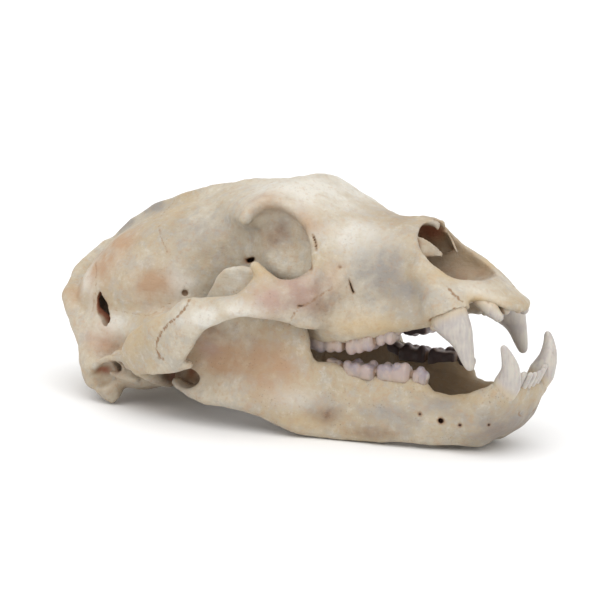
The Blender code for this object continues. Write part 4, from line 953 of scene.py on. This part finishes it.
# %% Seams
# Lines drawn on the bone: half width, strength and places
SEAMS = [
    (0.9, 0.85, [(-10.8, -79.6, 69.6), (-11.8, -83.2, 64.3), (-16.3, -83.5, 59.6), (-21.5, -83.1, 55.7),
                (-25.6, -82.2, 50.8), (-29.7, -80.6, 44.3), (-29.8, -79.4, 39.4), (-28, -79.1, 36.4)]),
    (1.5, 0.5, [(52.5, -45, 79.1), (50.6, -48.4, 77.2), (48.3, -52.2, 74.8), (46.1, -55.1, 72.4),
                (43.7, -57.7, 70.3)]),
    (1.2, 0.55, [(41.4, -59.7, 69.3), (39.7, -60.6, 66.1), (38.4, -61.1, 62.9), (31.6, -51.7, 57.6)]),
    (1.2, 0.7, [(109.5, -30.2, 85.1), (113.2, -30.6, 82.1), (116, -29.2, 79.8), (117.5, -27.5, 78.2)]),
    (1.0, 0.4, [(-102.7, -36.9, 72.4), (-97.8, -43.1, 66.5), (-95.6, -45.7, 58.9), (-96.5, -46, 53.3),
                (-95.5, -48.8, 47.3)]),
    (1.1, 0.4, [(-75.4, -3, 106.2), (-76.1, -9.3, 101.2), (-69.4, -25, 95.3), (-59.3, -36, 88.9),
                (-55.2, -37, 83.6), (-51.6, -42.1, 84.6)]),
    (1.0, 0.35, [(-80.9, -48, 50.2), (-71.1, -47.7, 49.9), (-63.7, -47, 49.7), (-57.5, -46.6, 51),
                (-50.4, -44.9, 56.1), (-43.8, -42.6, 59.9), (-38.1, -39.8, 62.4)]),
    (0.8, 0.4, [(-38.2, -42, 71.3), (-34, -40, 71.6), (-30.1, -38, 70.7)]),
    (0.8, 0.4, [(-31.8, -40, 68.1), (-26, -40, 64), (-21.4, -41, 62.6)]),
    (1.0, 0.6, [(102.4, -33, 67.8), (108, -31, 71.6), (113.5, -28, 74.7)]),
    (0.9, 0.7, [(144.4, -13, 24.5), (145.6, -13, 22.5), (146.5, -11, 21.5)])]


def along(points, line, half_width):
    """How near each point is to a line on the bone, from 1 on it to 0 at its half width."""
    found = np.zeros(len(points))
    for a, b in zip(line[:-1], line[1:]):
        ab = b - a
        flat = ab - (ab @ INWARD) * INWARD
        offset = points - a
        deep = offset @ INWARD
        across = offset - deep[:, None] * INWARD
        t = np.clip(across @ flat / (flat @ flat + 1e-9), 0, 1)
        away = np.linalg.norm(across - t[:, None] * flat, axis=1)
        near = np.abs(deep - t * (ab @ INWARD)) < LINE_DEPTH
        found = np.maximum(found, near * np.clip(1 - away / half_width, 0, 1))
    return found


def drawn(points, lines):
    """How strongly each point lies on one of the lines, each (half width, strength, places)."""
    on_right = on_right_side(points)
    found = np.zeros(len(points))
    for half_width, strength, line in lines:
        line = path_through(line, 3)
        low, high = line.min(0) - 10, line.max(0) + 10
        near = np.flatnonzero(((on_right > low) & (on_right < high)).all(axis=1))
        found[near] = np.maximum(found[near], strength * along(on_right[near], line, half_width))
    return found


RIM = 0.7


def hole_lines(holes, slits):
    """The holes and slits as lines, a little wider than they are, for painted shade in and around them."""
    round_ones = [(radius + RIM, dark, [place, place + INWARD * 0.1]) for place, radius, _, dark in holes]
    return round_ones + [(half_width + RIM, dark, line) for line, half_width, _, dark in slits]


def wandering(points):
    """The points moved a little to and fro, so that a line drawn through them winds as a seam does."""
    x, _, z = points.T
    sway = [np.sin(1.7 * z + 0.8 * x) + 0.6 * np.sin(3.1 * z), 0 * x,
            np.sin(1.5 * x - 0.6 * z) + 0.6 * np.sin(3.3 * x)]
    return points + 0.22 * np.stack(sway, axis=1)


def hollow(block, points, normals, reach):
    """How closed in each point is: the share of this reach that other bone takes away."""
    free = block.read(points + normals * reach)
    return np.clip(1 - free / reach, 0, 1)

# %% [markdown]
# ## From block to piece
#
# The mesh is made once for each block, then parted where the solids are. Each piece sits at the
# origin and rides on the one body, and each piece of bone stands for its own solid.

# %% From block to piece
def vertex_normals(points, quads):
    """A unit normal for each point, from the quads around it."""
    across = points[quads[:, 2]] - points[quads[:, 0]]
    other = points[quads[:, 3]] - points[quads[:, 1]]
    face = np.cross(across, other)
    normal = np.zeros_like(points)
    for corner in range(4):
        np.add.at(normal, quads[:, corner], face)
    return normal / np.maximum(np.linalg.norm(normal, axis=1, keepdims=True), 1e-9)


def mesh_of(name, points, faces, marks):
    """A Blender mesh in the frame's metres, with a value for each mark at each point."""
    mesh = bpy.data.meshes.new(name)
    size = faces.shape[1]
    mesh.vertices.add(len(points))
    mesh.vertices.foreach_set("co", ((points + TO_FRAME) * MM).astype(np.float32).ravel())
    mesh.loops.add(faces.size)
    mesh.loops.foreach_set("vertex_index", faces.astype(np.int32).ravel())
    mesh.polygons.add(len(faces))
    mesh.polygons.foreach_set("loop_start", np.arange(0, faces.size, size, dtype=np.int32))
    mesh.update(calc_edges=True)
    mesh.validate()
    for mark, values in marks.items():
        layer = mesh.attributes.new(mark, "FLOAT", "POINT")
        layer.data.foreach_set("value", values.astype(np.float32))
    mesh.shade_smooth()
    return mesh


def block_surface(block):
    """The points, outward quads and normals of a block's surface."""
    points, quads = block.surface()
    if (points[quads[:, 0]] * np.cross(points[quads[:, 1]], points[quads[:, 2]])).sum() < 0:
        quads = quads[:, ::-1]
    return points, quads, vertex_normals(points, quads)


def faces_midline(points, normals):
    """How squarely each point faces the skull's midline, from 0 to 1."""
    return np.clip(-normals[:, 1] * np.sign(points[:, 1]), 0, 1)


CREASE_REACH = 3.0
DEPTH_REACH = 8.0
TOOTH_CREASE_REACH = 2.0
# Waves of small lumps: length and height
LUMPS = ((24, 0.32), (10, 0.16), (5, 0.08))
WAVES_OF_EACH = 7


def weathered(points, normals):
    """The surface raised and lowered in small lumps, as bone is where muscle and vessels lay."""
    random = np.random.default_rng(7)
    lift = np.zeros(len(points))
    for length, tall in LUMPS:
        for _ in range(WAVES_OF_EACH):
            way = random.normal(size=3)
            way *= 2 * np.pi / length / np.linalg.norm(way) * random.uniform(0.7, 1.4)
            lift += tall / WAVES_OF_EACH ** 0.5 * np.sin(points @ way + random.uniform(0, 6.3))
    made = points + normals * lift[:, None]
    made[:, 2] = np.maximum(made[:, 2], FORMS_LOW_Z)
    return made


def bone_mesh(name, block, holes, slits):
    """The whole surface of a block, with its marks."""
    points, quads, normals = block_surface(block)
    marks = {mark: stain(points, blobs) for mark, blobs in STAINS.items()}
    marks["seam"] = drawn(wandering(points), SEAMS)
    marks["hole"] = drawn(points, hole_lines(holes, slits))
    marks["crease"] = hollow(block, points, normals, CREASE_REACH)
    marks["depth"] = hollow(block, points, normals, DEPTH_REACH)
    marks["inner"] = faces_midline(points, normals)
    # The dark places' painted shade is kept to bone deep in a hollow or facing the midline
    sheltered = np.clip(marks["depth"] * 2.2 + marks["inner"] * 1.5, 0, 1)
    marks["pit_shade"] = stain(points, PIT_SHADE_BLOBS) * sheltered
    print(name, len(quads), "quads")
    return mesh_of(name, weathered(points, normals), quads, marks)


def piece(name, mesh, material, slot, *nodes):
    """A finished piece that stands for its solids."""
    thing = placed(name, mesh)
    mesh.materials.append(material)
    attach(thing, "root")
    if nodes:
        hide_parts(*nodes)
    return thing

# %% Parting the bone where the solids are parted
# Each cut: its place, the direction across it, and how far it reaches sideways and up
BROW_CUT = ((-12, 0, 84), (1, 0, 0), 52, 54)
FRONT_ARCH_CUT = ((38, -54.5, 74), (0.6225, 0.7826, 0), 11, 20)
REAR_ARCH_CUT = ((-20, -76, 49), (1, 0, 0), 18, 30)
CUT_REACH = 2.5


def on_left(cut):
    """The same cut on the left side."""
    place, across, wide, tall = cut
    return (place[0], -place[1], place[2]), (across[0], -across[1], across[2]), wide, tall


def cut_through(form, place, across, wide, tall):
    """Cuts the faces near the plane and takes them apart along it."""
    across = np.array(across)
    beside = np.cross((0, 0, 1), across)
    place = (np.array(place) + TO_FRAME) * MM
    centres = np.array([face.calc_center_median() for face in form.faces]) - place
    near = (np.abs(centres @ across) < CUT_REACH * MM) & (np.abs(centres @ beside) < wide * MM)
    near &= np.abs(centres[:, 2]) < tall * MM
    form.faces.ensure_lookup_table()
    faces = [form.faces[i] for i in np.flatnonzero(near)]
    edges = list({edge for face in faces for edge in face.edges})
    points = list({point for face in faces for point in face.verts})
    made = bmesh.ops.bisect_plane(form, geom=points + edges + faces, dist=1e-7, plane_co=place,
                                  plane_no=across)
    rim = [part for part in made["geom_cut"] if isinstance(part, bmesh.types.BMEdge)]
    bmesh.ops.split_edges(form, edges=rim)


def close_rims(form):
    """A flat cap on every open rim."""
    rim = [edge for edge in form.edges if edge.is_boundary]
    for edge in rim:
        edge.smooth = False
    caps = bmesh.ops.holes_fill(form, edges=rim)["faces"]
    for cap in caps:
        cap.smooth = False
    bmesh.ops.triangulate(form, faces=caps)


def connected(form):
    """For each face, the number of the closed surface that it belongs to, and the surfaces' sizes."""
    form.faces.ensure_lookup_table()
    group = np.full(len(form.faces), -1)
    sizes = []
    for start in range(len(group)):
        if group[start] >= 0:
            continue
        group[start] = len(sizes)
        waiting = [form.faces[start]]
        size = 0
        while waiting:
            face = waiting.pop()
            size += 1
            for edge in face.edges:
                for other in edge.link_faces:
                    if group[other.index] < 0:
                        group[other.index] = len(sizes)
                        waiting.append(other)
        sizes.append(size)
    return group, sizes


def parted(mesh, cuts, most):
    """The largest closed surfaces that the cuts leave of a mesh, each with its middle in millimetres."""
    form = bmesh.new()
    form.from_mesh(mesh)
    for cut in cuts:
        cut_through(form, *cut)
    close_rims(form)
    form.faces.index_update()
    group, sizes = connected(form)
    found = []
    for number in np.argsort(sizes)[::-1][:most]:
        part = form.copy()
        part.faces.ensure_lookup_table()
        others = [part.faces[i] for i in np.flatnonzero(group != number)]
        bmesh.ops.delete(part, geom=others, context="FACES")
        spots = np.array([point.co for point in part.verts]) / MM - TO_FRAME
        part_mesh = mesh.copy()
        part.to_mesh(part_mesh)
        part.free()
        found.append((part_mesh, (spots.min(0) + spots.max(0)) / 2))
    form.free()
    return found

# %% [markdown]
# ## Writing shader maths
#
# A shader is a web of small nodes. The class below wraps a socket, so that an expression such as
# `1 - mask * 0.5` adds the Math nodes by itself, and the code reads like the idea.

# %% Writing shader maths
class Wire:
    """A socket in a material; arithmetic on it adds Math nodes."""

    def __init__(self, tree, socket):
        self.tree = tree
        self.socket = socket

    def math(self, operation, *values):
        """A Math node on these values."""
        return add_node(self.tree, "ShaderNodeMath", {"operation": operation}, dict(enumerate(values)))

    def __add__(self, other):
        return self.math("ADD", self, other)

    def __sub__(self, other):
        return self.math("SUBTRACT", self, other)

    def __rsub__(self, other):
        return self.math("SUBTRACT", other, self)

    def __mul__(self, other):
        return self.math("MULTIPLY", self, other)

    __radd__ = __add__
    __rmul__ = __mul__

    def limited(self):
        """This value, kept from 0 to 1."""
        return add_node(self.tree, "ShaderNodeClamp", {}, {0: self})

    def stretched(self, low, high):
        """This value from low to high, spread smoothly from 0 to 1."""
        settings = {"interpolation_type": "SMOOTHSTEP"}
        return add_node(self.tree, "ShaderNodeMapRange", settings, {0: self, 1: low, 2: high})


def fill_sockets(tree, node, sockets):
    """Gives each of these sockets of a node its value, or a link."""
    for name, value in sockets.items():
        if isinstance(value, Wire):
            tree.links.new(value.socket, node.inputs[name])
        else:
            node.inputs[name].default_value = value


def add_node(tree, kind, settings, sockets, output=0):
    """One node, its settings first, then its sockets' values or links."""
    node = tree.nodes.new(kind)
    for name, value in settings.items():
        setattr(node, name, value)
    fill_sockets(tree, node, sockets)
    return Wire(tree, node.outputs[output])


def mixed(tree, factor, a, b):
    """Colour a, turning to colour b as the factor goes from 0 to 1."""
    a, b = (value if isinstance(value, Wire) else (*value, 1) for value in (a, b))
    return add_node(tree, "ShaderNodeMix", {"data_type": "RGBA"}, {0: factor, 6: a, 7: b}, 2)


def layered(tree, colour, layers):
    """A colour with others laid over it in turn, each (factor, colour)."""
    for factor, tone in layers:
        colour = mixed(tree, factor, colour, tone)
    return colour


def mark_of(tree, name):
    """A mark stored on the mesh."""
    return add_node(tree, "ShaderNodeAttribute", {"attribute_name": name}, {}, 2)


def own_place(tree):
    """Where on the piece a point lies."""
    return add_node(tree, "ShaderNodeTexCoord", {}, {}, 3)


def noise(tree, place, size, detail=3.0, roughness=0.55):
    """Cloudy noise from 0 to 1, with clouds of this size in millimetres."""
    sockets = {"Vector": place, "Scale": 1 / (size * MM), "Detail": detail, "Roughness": roughness}
    return add_node(tree, "ShaderNodeTexNoise", {}, sockets)


def moved(tree, place, by):
    """The same place moved, so that another noise of the same size is free of the first."""
    return add_node(tree, "ShaderNodeVectorMath", {"operation": "ADD"}, {0: place, 1: (by, by, by)})


def drawn_out(tree, place, shares):
    """The same place scaled along each axis, so that noise read there is drawn out into grain."""
    return add_node(tree, "ShaderNodeVectorMath", {"operation": "MULTIPLY"}, {0: place, 1: shares})


def bumped(tree, strength, distance, height):
    """Small bumps that follow a height, this strong and rising this many millimetres."""
    sockets = {"Strength": strength, "Distance": distance * MM, "Height": height}
    return add_node(tree, "ShaderNodeBump", {}, sockets)


def new_material(name):
    """A material, its node tree and its shader."""
    material = bpy.data.materials.new(name)
    material.use_nodes = True
    return material, material.node_tree, material.node_tree.nodes["Principled BSDF"]

# %% [markdown]
# ## Bone
#
# Dry bone is ivory, matte, a little rough, and lets light in a short way. Fine pores show in
# patches, most of all on the jaw. The stains come from the marks, broken up by noise so that no
# edge is even. So does painted shade: in creases, pits and holes, and on the sides that face the
# midline.

# %% Bone colours
IVORY = (0.50, 0.44, 0.34)
WARM_IVORY = (0.43, 0.35, 0.235)
COOL_IVORY = (0.39, 0.36, 0.31)
WHITE_BONE = (0.66, 0.63, 0.56)
TAN = (0.42, 0.26, 0.15)
ROSE = (0.42, 0.28, 0.23)
BLUE_GREY = (0.26, 0.24, 0.22)
YELLOW_BONE = (0.52, 0.38, 0.20)
UMBER = (0.18, 0.10, 0.055)
# Brown of the seams, also used for painted shade at pit edges and hole rims
SEAM_AND_SHADE_BROWN = (0.26, 0.14, 0.06)
DARK_RED_BROWN = (0.075, 0.026, 0.014)
# Painted shade in creases and tight hollows, with some dust
DUST_AND_CREASE_SHADE = (0.22, 0.13, 0.07)
# Painted shade at the deepest of the dark places
SHADE_MAROON = (0.23, 0.075, 0.035)
# Tan stain with painted shade, for the sides that face the midline
INNER_TAN_AND_SHADE = (0.30, 0.20, 0.11)
STAIN_COLOURS = {"pale": WHITE_BONE, "yellow": YELLOW_BONE, "tan": TAN, "grey": BLUE_GREY, "rose": ROSE,
                 "umber": UMBER}

# %% Bone
def bone_material(name, pore_strength, inner_stain_and_shade):
    """Stained bone, with pores, and a tan stain with painted shade on the sides that face the midline, as
    strong as given.
    """
    material, tree, shader = new_material(name)
    place = own_place(tree)
    wide, middling, fine = noise(tree, place, 45), noise(tree, place, 11, 5), noise(tree, place, 2.5, 4)
    other = noise(tree, moved(tree, place, 3.0), 8, 6, 0.65)
    blotch = noise(tree, moved(tree, place, 7.0), 4.5, 5, 0.7)
    grain = noise(tree, drawn_out(tree, place, (0.22, 1, 1)), 1.1, 3)
    colour = layered(tree, IVORY, [(wide.stretched(0.4, 0.62), WARM_IVORY),
                                   (other.stretched(0.46, 0.6) * 0.6, COOL_IVORY),
                                   (blotch.stretched(0.5, 0.66) * 0.4, TAN),
                                   ((1 - blotch.stretched(0.32, 0.48)) * 0.3, WHITE_BONE)])
    broken = {key: mark_of(tree, key) * (middling * 3.0 - 0.45) * (other * 1.4 + 0.5)
              for key in STAIN_COLOURS}
    colour = layered(tree, colour, [(broken[key].limited() * 0.85, tone)
                                    for key, tone in STAIN_COLOURS.items()])
    seam = mark_of(tree, "seam") * (fine * 2.6 - 0.5)
    pit_shade = (mark_of(tree, "pit_shade") * (middling * 1.2 + 0.4)).limited()
    hole = mark_of(tree, "hole")
    pores = add_node(tree, "ShaderNodeTexVoronoi", {}, {"Vector": place, "Scale": 1 / (1.5 * MM)})
    pits = (1 - pores.stretched(0.05, 0.24)) * middling.stretched(0.42, 0.66) * pore_strength
    # Sides that face the midline get a tan stain with painted shade
    colour = layered(tree, colour, [(mark_of(tree, "inner") * inner_stain_and_shade, INNER_TAN_AND_SHADE),
                                    # Painted shade, with some dust, in creases and tight hollows
                                    (mark_of(tree, "crease").stretched(0.3, 0.95) * 0.65, DUST_AND_CREASE_SHADE),
                                    (fine.stretched(0.52, 0.72) * 0.3, TAN),
                                    (grain.stretched(0.55, 0.72) * 0.22, COOL_IVORY),
                                    (seam.stretched(0.12, 0.55) * 0.85, SEAM_AND_SHADE_BROWN),
                                    # Painted shade in the dark places, maroon at the deepest
                                    (pit_shade.stretched(0.1, 0.6) * 0.6, SEAM_AND_SHADE_BROWN),
                                    (pit_shade.stretched(0.35, 0.85) * 0.9, SHADE_MAROON),
                                    # Painted shade in and around the holes and slits
                                    (hole.stretched(0.0, 0.25) * 0.5, SEAM_AND_SHADE_BROWN),
                                    (hole.stretched(0.25, 0.6), DARK_RED_BROWN),
                                    (pits * 0.6, UMBER)])
    height = fine * 0.6 + blotch * 0.5 + other * 0.4 + grain * 0.4 - pits - seam.stretched(0.1, 0.7) * 0.8
    fill_sockets(tree, shader, {"Base Color": colour, "Normal": bumped(tree, 0.6, 0.8, height),
                                "Roughness": 0.5 + fine * 0.2, "Subsurface Weight": 0.1,
                                "Subsurface Radius": (1.0, 0.7, 0.45), "Subsurface Scale": 1.2 * MM})
    return material


cranium_bone = bone_material("cranium bone", 0.5, 0.5)
jaw_bone = bone_material("jaw bone", 1.0, 0.8)

# %% [markdown]
# ## Enamel
#
# The fangs are grey-white, the cheek teeth go to lilac and pink. All are glossier than the bone,
# with brown at their necks and in fine cracks that run from root to tip, and painted shade in the
# creases between cusps. The cheek teeth's sides that face the tongue are dark with old scale and
# painted shade.

# %% Enamel
FANG_WHITE = (0.52, 0.48, 0.42)
FANG_GREY = (0.42, 0.38, 0.36)
LILAC = (0.31, 0.26, 0.28)
PINK = (0.42, 0.33, 0.30)
NECK_CREAM = (0.52, 0.42, 0.28)
# Brown at the necks and in cracks, also used for painted shade in the creases
NECK_BROWN_AND_SHADE = (0.26, 0.15, 0.08)
# Old scale with painted shade, for the cheek teeth's sides that face the tongue
TARTAR_AND_SHADE = (0.085, 0.06, 0.06)


def enamel_material(name):
    """Enamel of the fangs and the cheek teeth, told apart by a mark."""
    material, tree, shader = new_material(name)
    place = own_place(tree)
    cloud, fine = noise(tree, place, 7, 4), noise(tree, place, 1.6, 4)
    streak = noise(tree, drawn_out(tree, place, (1, 1, 0.14)), 1.6, 3)
    neck = mark_of(tree, "neck")
    fang_only = 1 - mark_of(tree, "cheek")
    cream = (neck + cloud * 0.5 - 0.3).stretched(0.3, 0.85) * (0.3 + 0.4 * fang_only)
    gum_line = neck.stretched(0.84, 0.98) * streak.stretched(0.4, 0.65)
    # The sides that face the tongue: old scale with painted shade
    tartar_and_shade = mark_of(tree, "tartar_and_shade") * (cloud * 1.4 + 0.3)
    fang = mixed(tree, (cloud * 0.5 + streak * 0.5).stretched(0.38, 0.62), FANG_WHITE, FANG_GREY)
    cheek = layered(tree, PINK, [(cloud.stretched(0.42, 0.6), LILAC),
                                 (fine.stretched(0.55, 0.75) * 0.4, NECK_CREAM)])
    colour = layered(tree, fang, [(mark_of(tree, "cheek"), cheek), (cream, NECK_CREAM),
                                  (gum_line * (0.6 - 0.3 * fang_only), NECK_BROWN_AND_SHADE),
                                  (streak.stretched(0.62, 0.75) * 0.35, NECK_BROWN_AND_SHADE),
                                  (tartar_and_shade.stretched(0.2, 0.75), TARTAR_AND_SHADE),
                                  # Painted shade in the creases between cusps and teeth
                                  (mark_of(tree, "crease").stretched(0.25, 0.9) * 0.6, NECK_BROWN_AND_SHADE)])
    fill_sockets(tree, shader, {"Base Color": colour, "Roughness": 0.26 + cloud * 0.14,
                                "Normal": bumped(tree, 0.25, 0.3, streak + fine * 0.4),
                                "Subsurface Weight": 0.08, "Subsurface Scale": 1.0 * MM})
    return material


enamel = enamel_material("enamel")

# %% Bone pieces
cuts = [BROW_CUT, FRONT_ARCH_CUT, on_left(FRONT_ARCH_CUT), REAR_ARCH_CUT, on_left(REAR_ARCH_CUT)]
for part_mesh, (x, y, _) in parted(bone_mesh("cranium", cranium, CRANIUM_HOLES, CRANIUM_SLITS), cuts, 4):
    if abs(y) > 20:
        side = "left" if y > 0 else "right"
        piece("arch_" + side + "_bone", part_mesh, cranium_bone, "arch_bone", "zygomatic_arch_" + side)
    elif x > 0:
        piece("face_bone", part_mesh, cranium_bone, "cranium_bone", "face")
    else:
        piece("braincase_bone", part_mesh, cranium_bone, "cranium_bone", "braincase")
MIDLINE_CUT = ((0, 0, 0), (0, 1, 0), 1000, 1000)
for part_mesh, (_, y, _) in parted(bone_mesh("jaw", jaw, JAW_HOLES, []), [MIDLINE_CUT], 2):
    side = "left" if y > 0 else "right"
    piece("jaw_" + side + "_bone", part_mesh, jaw_bone, "jaw_bone", "mandible_" + side)

# %% Tooth pieces
CHEEK_TEETH_BACK_OF_X = 99.0
NECK_HEIGHT = 7.0


def tooth_mesh(name, block, bone):
    """The teeth of one jaw, marked by how near the bone they are and which side faces the tongue."""
    points, quads, normals = block_surface(block)
    cheek = points[:, 0] < CHEEK_TEETH_BACK_OF_X
    marks = {"neck": np.clip(1 - bone.read(points) / NECK_HEIGHT, 0, 1), "cheek": cheek.astype(float),
             "tartar_and_shade": faces_midline(points, normals) * cheek,
             "crease": hollow(block, points, normals, TOOTH_CREASE_REACH)}
    print(name, len(quads), "quads")
    return mesh_of(name, points, quads, marks)


piece("upper_teeth", tooth_mesh("upper_teeth", upper_teeth, cranium), enamel, "tooth")
piece("lower_teeth", tooth_mesh("lower_teeth", lower_teeth, jaw), enamel, "tooth")

# %% [markdown]
# ## The row of small front teeth
#
# The six lower front teeth are one form that repeats: a short bar that widens to a shovel edge.
# A node tree makes the form once and sets a copy on each point, turned to that tooth's lean.

# %% The row of small front teeth
def tree_input(tree, name, kind):
    """A named input of a node tree."""
    return tree.interface.new_socket(name, in_out="INPUT", socket_type=kind)


def stored(tree, name):
    """A vector stored on the points."""
    return add_node(tree, "GeometryNodeInputNamedAttribute", {"data_type": "FLOAT_VECTOR"}, {"Name": name})


def front_teeth_tree():
    """A tree that stands a shovel-shaped tooth on each point; also its two inputs' identifiers."""
    tree = bpy.data.node_groups.new("front teeth", "GeometryNodeTree")
    tree_input(tree, "Points", "NodeSocketGeometry")
    wide = tree_input(tree, "Edge Width", "NodeSocketFloat")
    thick = tree_input(tree, "Edge Thickness", "NodeSocketFloat")
    tree.interface.new_socket("Teeth", in_out="OUTPUT", socket_type="NodeSocketGeometry")
    given = tree.nodes.new("NodeGroupInput")
    points, edge_width, edge_thickness = (Wire(tree, given.outputs[i]) for i in range(3))
    bar = add_node(tree, "GeometryNodeMeshCylinder", {},
                   {"Vertices": 12, "Side Segments": 5, "Radius": 0.5, "Depth": 1.0})
    place = add_node(tree, "GeometryNodeInputPosition", {}, {})
    x, y, z = (add_node(tree, "ShaderNodeSeparateXYZ", {}, {0: place}, i) for i in range(3))
    rise = z + 0.5
    shaped = add_node(tree, "ShaderNodeCombineXYZ", {}, {0: x * (1 + rise * (edge_thickness - 1)),
                                                         1: y * (1 + rise * (edge_width - 1)), 2: z})
    bar = add_node(tree, "GeometryNodeSetPosition", {}, {"Geometry": bar, "Position": shaped})
    bar = add_node(tree, "GeometryNodeStoreNamedAttribute", {"data_type": "FLOAT", "domain": "POINT"},
                   {"Geometry": bar, "Name": "neck", "Value": (1.15 - rise * 1.3).limited()})
    bar = add_node(tree, "GeometryNodeSubdivisionSurface", {}, {"Mesh": bar, "Level": 2})
    lean = add_node(tree, "FunctionNodeAlignRotationToVector", {"axis": "Z"},
                    {"Vector": stored(tree, "lean")})
    teeth = add_node(tree, "GeometryNodeInstanceOnPoints", {},
                     {"Points": points, "Instance": bar, "Rotation": lean, "Scale": stored(tree, "sizes")})
    teeth = add_node(tree, "GeometryNodeRealizeInstances", {}, {0: teeth})
    teeth = add_node(tree, "GeometryNodeSetShadeSmooth", {}, {0: teeth})
    teeth = add_node(tree, "GeometryNodeSetMaterial", {}, {"Geometry": teeth, "Material": enamel})
    end = tree.nodes.new("NodeGroupOutput")
    fill_sockets(tree, end, {0: teeth})
    return tree, wide.identifier, thick.identifier


# How far a tooth goes on past its tip's centre, and its bar's thickness and width per root radius
TIP_PAST = 0.4
BAR_THICK = 1.9
BAR_WIDE = 1.98


def front_teeth_points():
    """A point at the middle of each lower front tooth, with its lean and its sizes."""
    middles, leans, sizes = [], [], []
    for root, tip, low_radius, high_radius in LOWER_SMALL_TEETH:
        for side in (1, -1):
            a, b = np.array(root) * (1, side, 1), np.array(tip) * (1, side, 1)
            lean = (b - a) / np.linalg.norm(b - a)
            a, b = a - lean * low_radius, b + lean * (high_radius + TIP_PAST)
            middles.append(((a + b) / 2 + TO_FRAME) * MM)
            leans.append(lean)
            long = np.linalg.norm(b - a)
            sizes.append(np.array((BAR_THICK * low_radius, BAR_WIDE * low_radius, long)) * MM)
    mesh = bpy.data.meshes.new("front teeth")
    mesh.from_pydata([tuple(middle) for middle in middles], [], [])
    for name, values in (("lean", leans), ("sizes", sizes)):
        mesh.attributes.new(name, "FLOAT_VECTOR", "POINT").data.foreach_set("vector", np.ravel(values))
    return mesh


EDGE_WIDTH = 1.12
EDGE_THICKNESS = 0.55


def front_teeth_mesh():
    """The six lower front teeth as one mesh."""
    thing = placed("front teeth points", front_teeth_points())
    tree, wide, thick = front_teeth_tree()
    modifier = thing.modifiers.new("front teeth", "NODES")
    modifier.node_group = tree
    modifier[wide] = EDGE_WIDTH
    modifier[thick] = EDGE_THICKNESS
    graph = bpy.context.evaluated_depsgraph_get()
    mesh = bpy.data.meshes.new_from_object(thing.evaluated_get(graph))
    thing.modifiers.clear()
    bpy.data.objects.remove(thing)
    print("front teeth", len(mesh.polygons), "quads")
    return mesh


front_teeth = front_teeth_mesh()
front_teeth.materials.clear()
piece("lower_front_teeth", front_teeth, enamel, "tooth")

# %% [markdown]
# ## Floor and light
#
# The floor is pale and plain. One wide light stands overhead, a little to the front and right,
# and an even white sky fills the rest, so that the hollows stay readable and shadows are soft.

# %% Floor and light
FLOOR_HALF = 6.0
FLOOR_WHITE = 0.93
OVERHEAD = ((0.25, -0.45, 1.0), 70, 1.6)
SKY_POWER = 0.85


def make_floor():
    """A wide pale sheet at height 0."""
    mesh = bpy.data.meshes.new("floor")
    half = FLOOR_HALF
    mesh.from_pydata([(-half, -half, 0), (half, -half, 0), (half, half, 0), (-half, half, 0)], [],
                     [(0, 1, 2, 3)])
    floor = placed("floor", mesh)
    material, tree, shader = new_material("pale floor")
    fill_sockets(tree, shader, {"Base Color": (FLOOR_WHITE, FLOOR_WHITE, FLOOR_WHITE, 1),
                                "Roughness": 0.8})
    mesh.materials.append(material)


def soft_sun(name, place, wide, power):
    """A light from a wide patch of sky, whose rays come from the side that place lies on."""
    light = bpy.data.lights.new(name, "SUN")
    light.angle = np.radians(wide)
    light.energy = power
    placed(name, light).rotation_euler = (-Vector(place)).to_track_quat("-Z", "Y").to_euler()


make_floor()
soft_sun("overhead", *OVERHEAD)
world = bpy.data.worlds.new("studio")
bpy.context.scene.world = world
world.use_nodes = True
fill_sockets(world.node_tree, world.node_tree.nodes["Background"],
             {"Color": (1, 1, 1, 1), "Strength": SKY_POWER})
bpy.context.scene.view_settings.view_transform = "Standard"
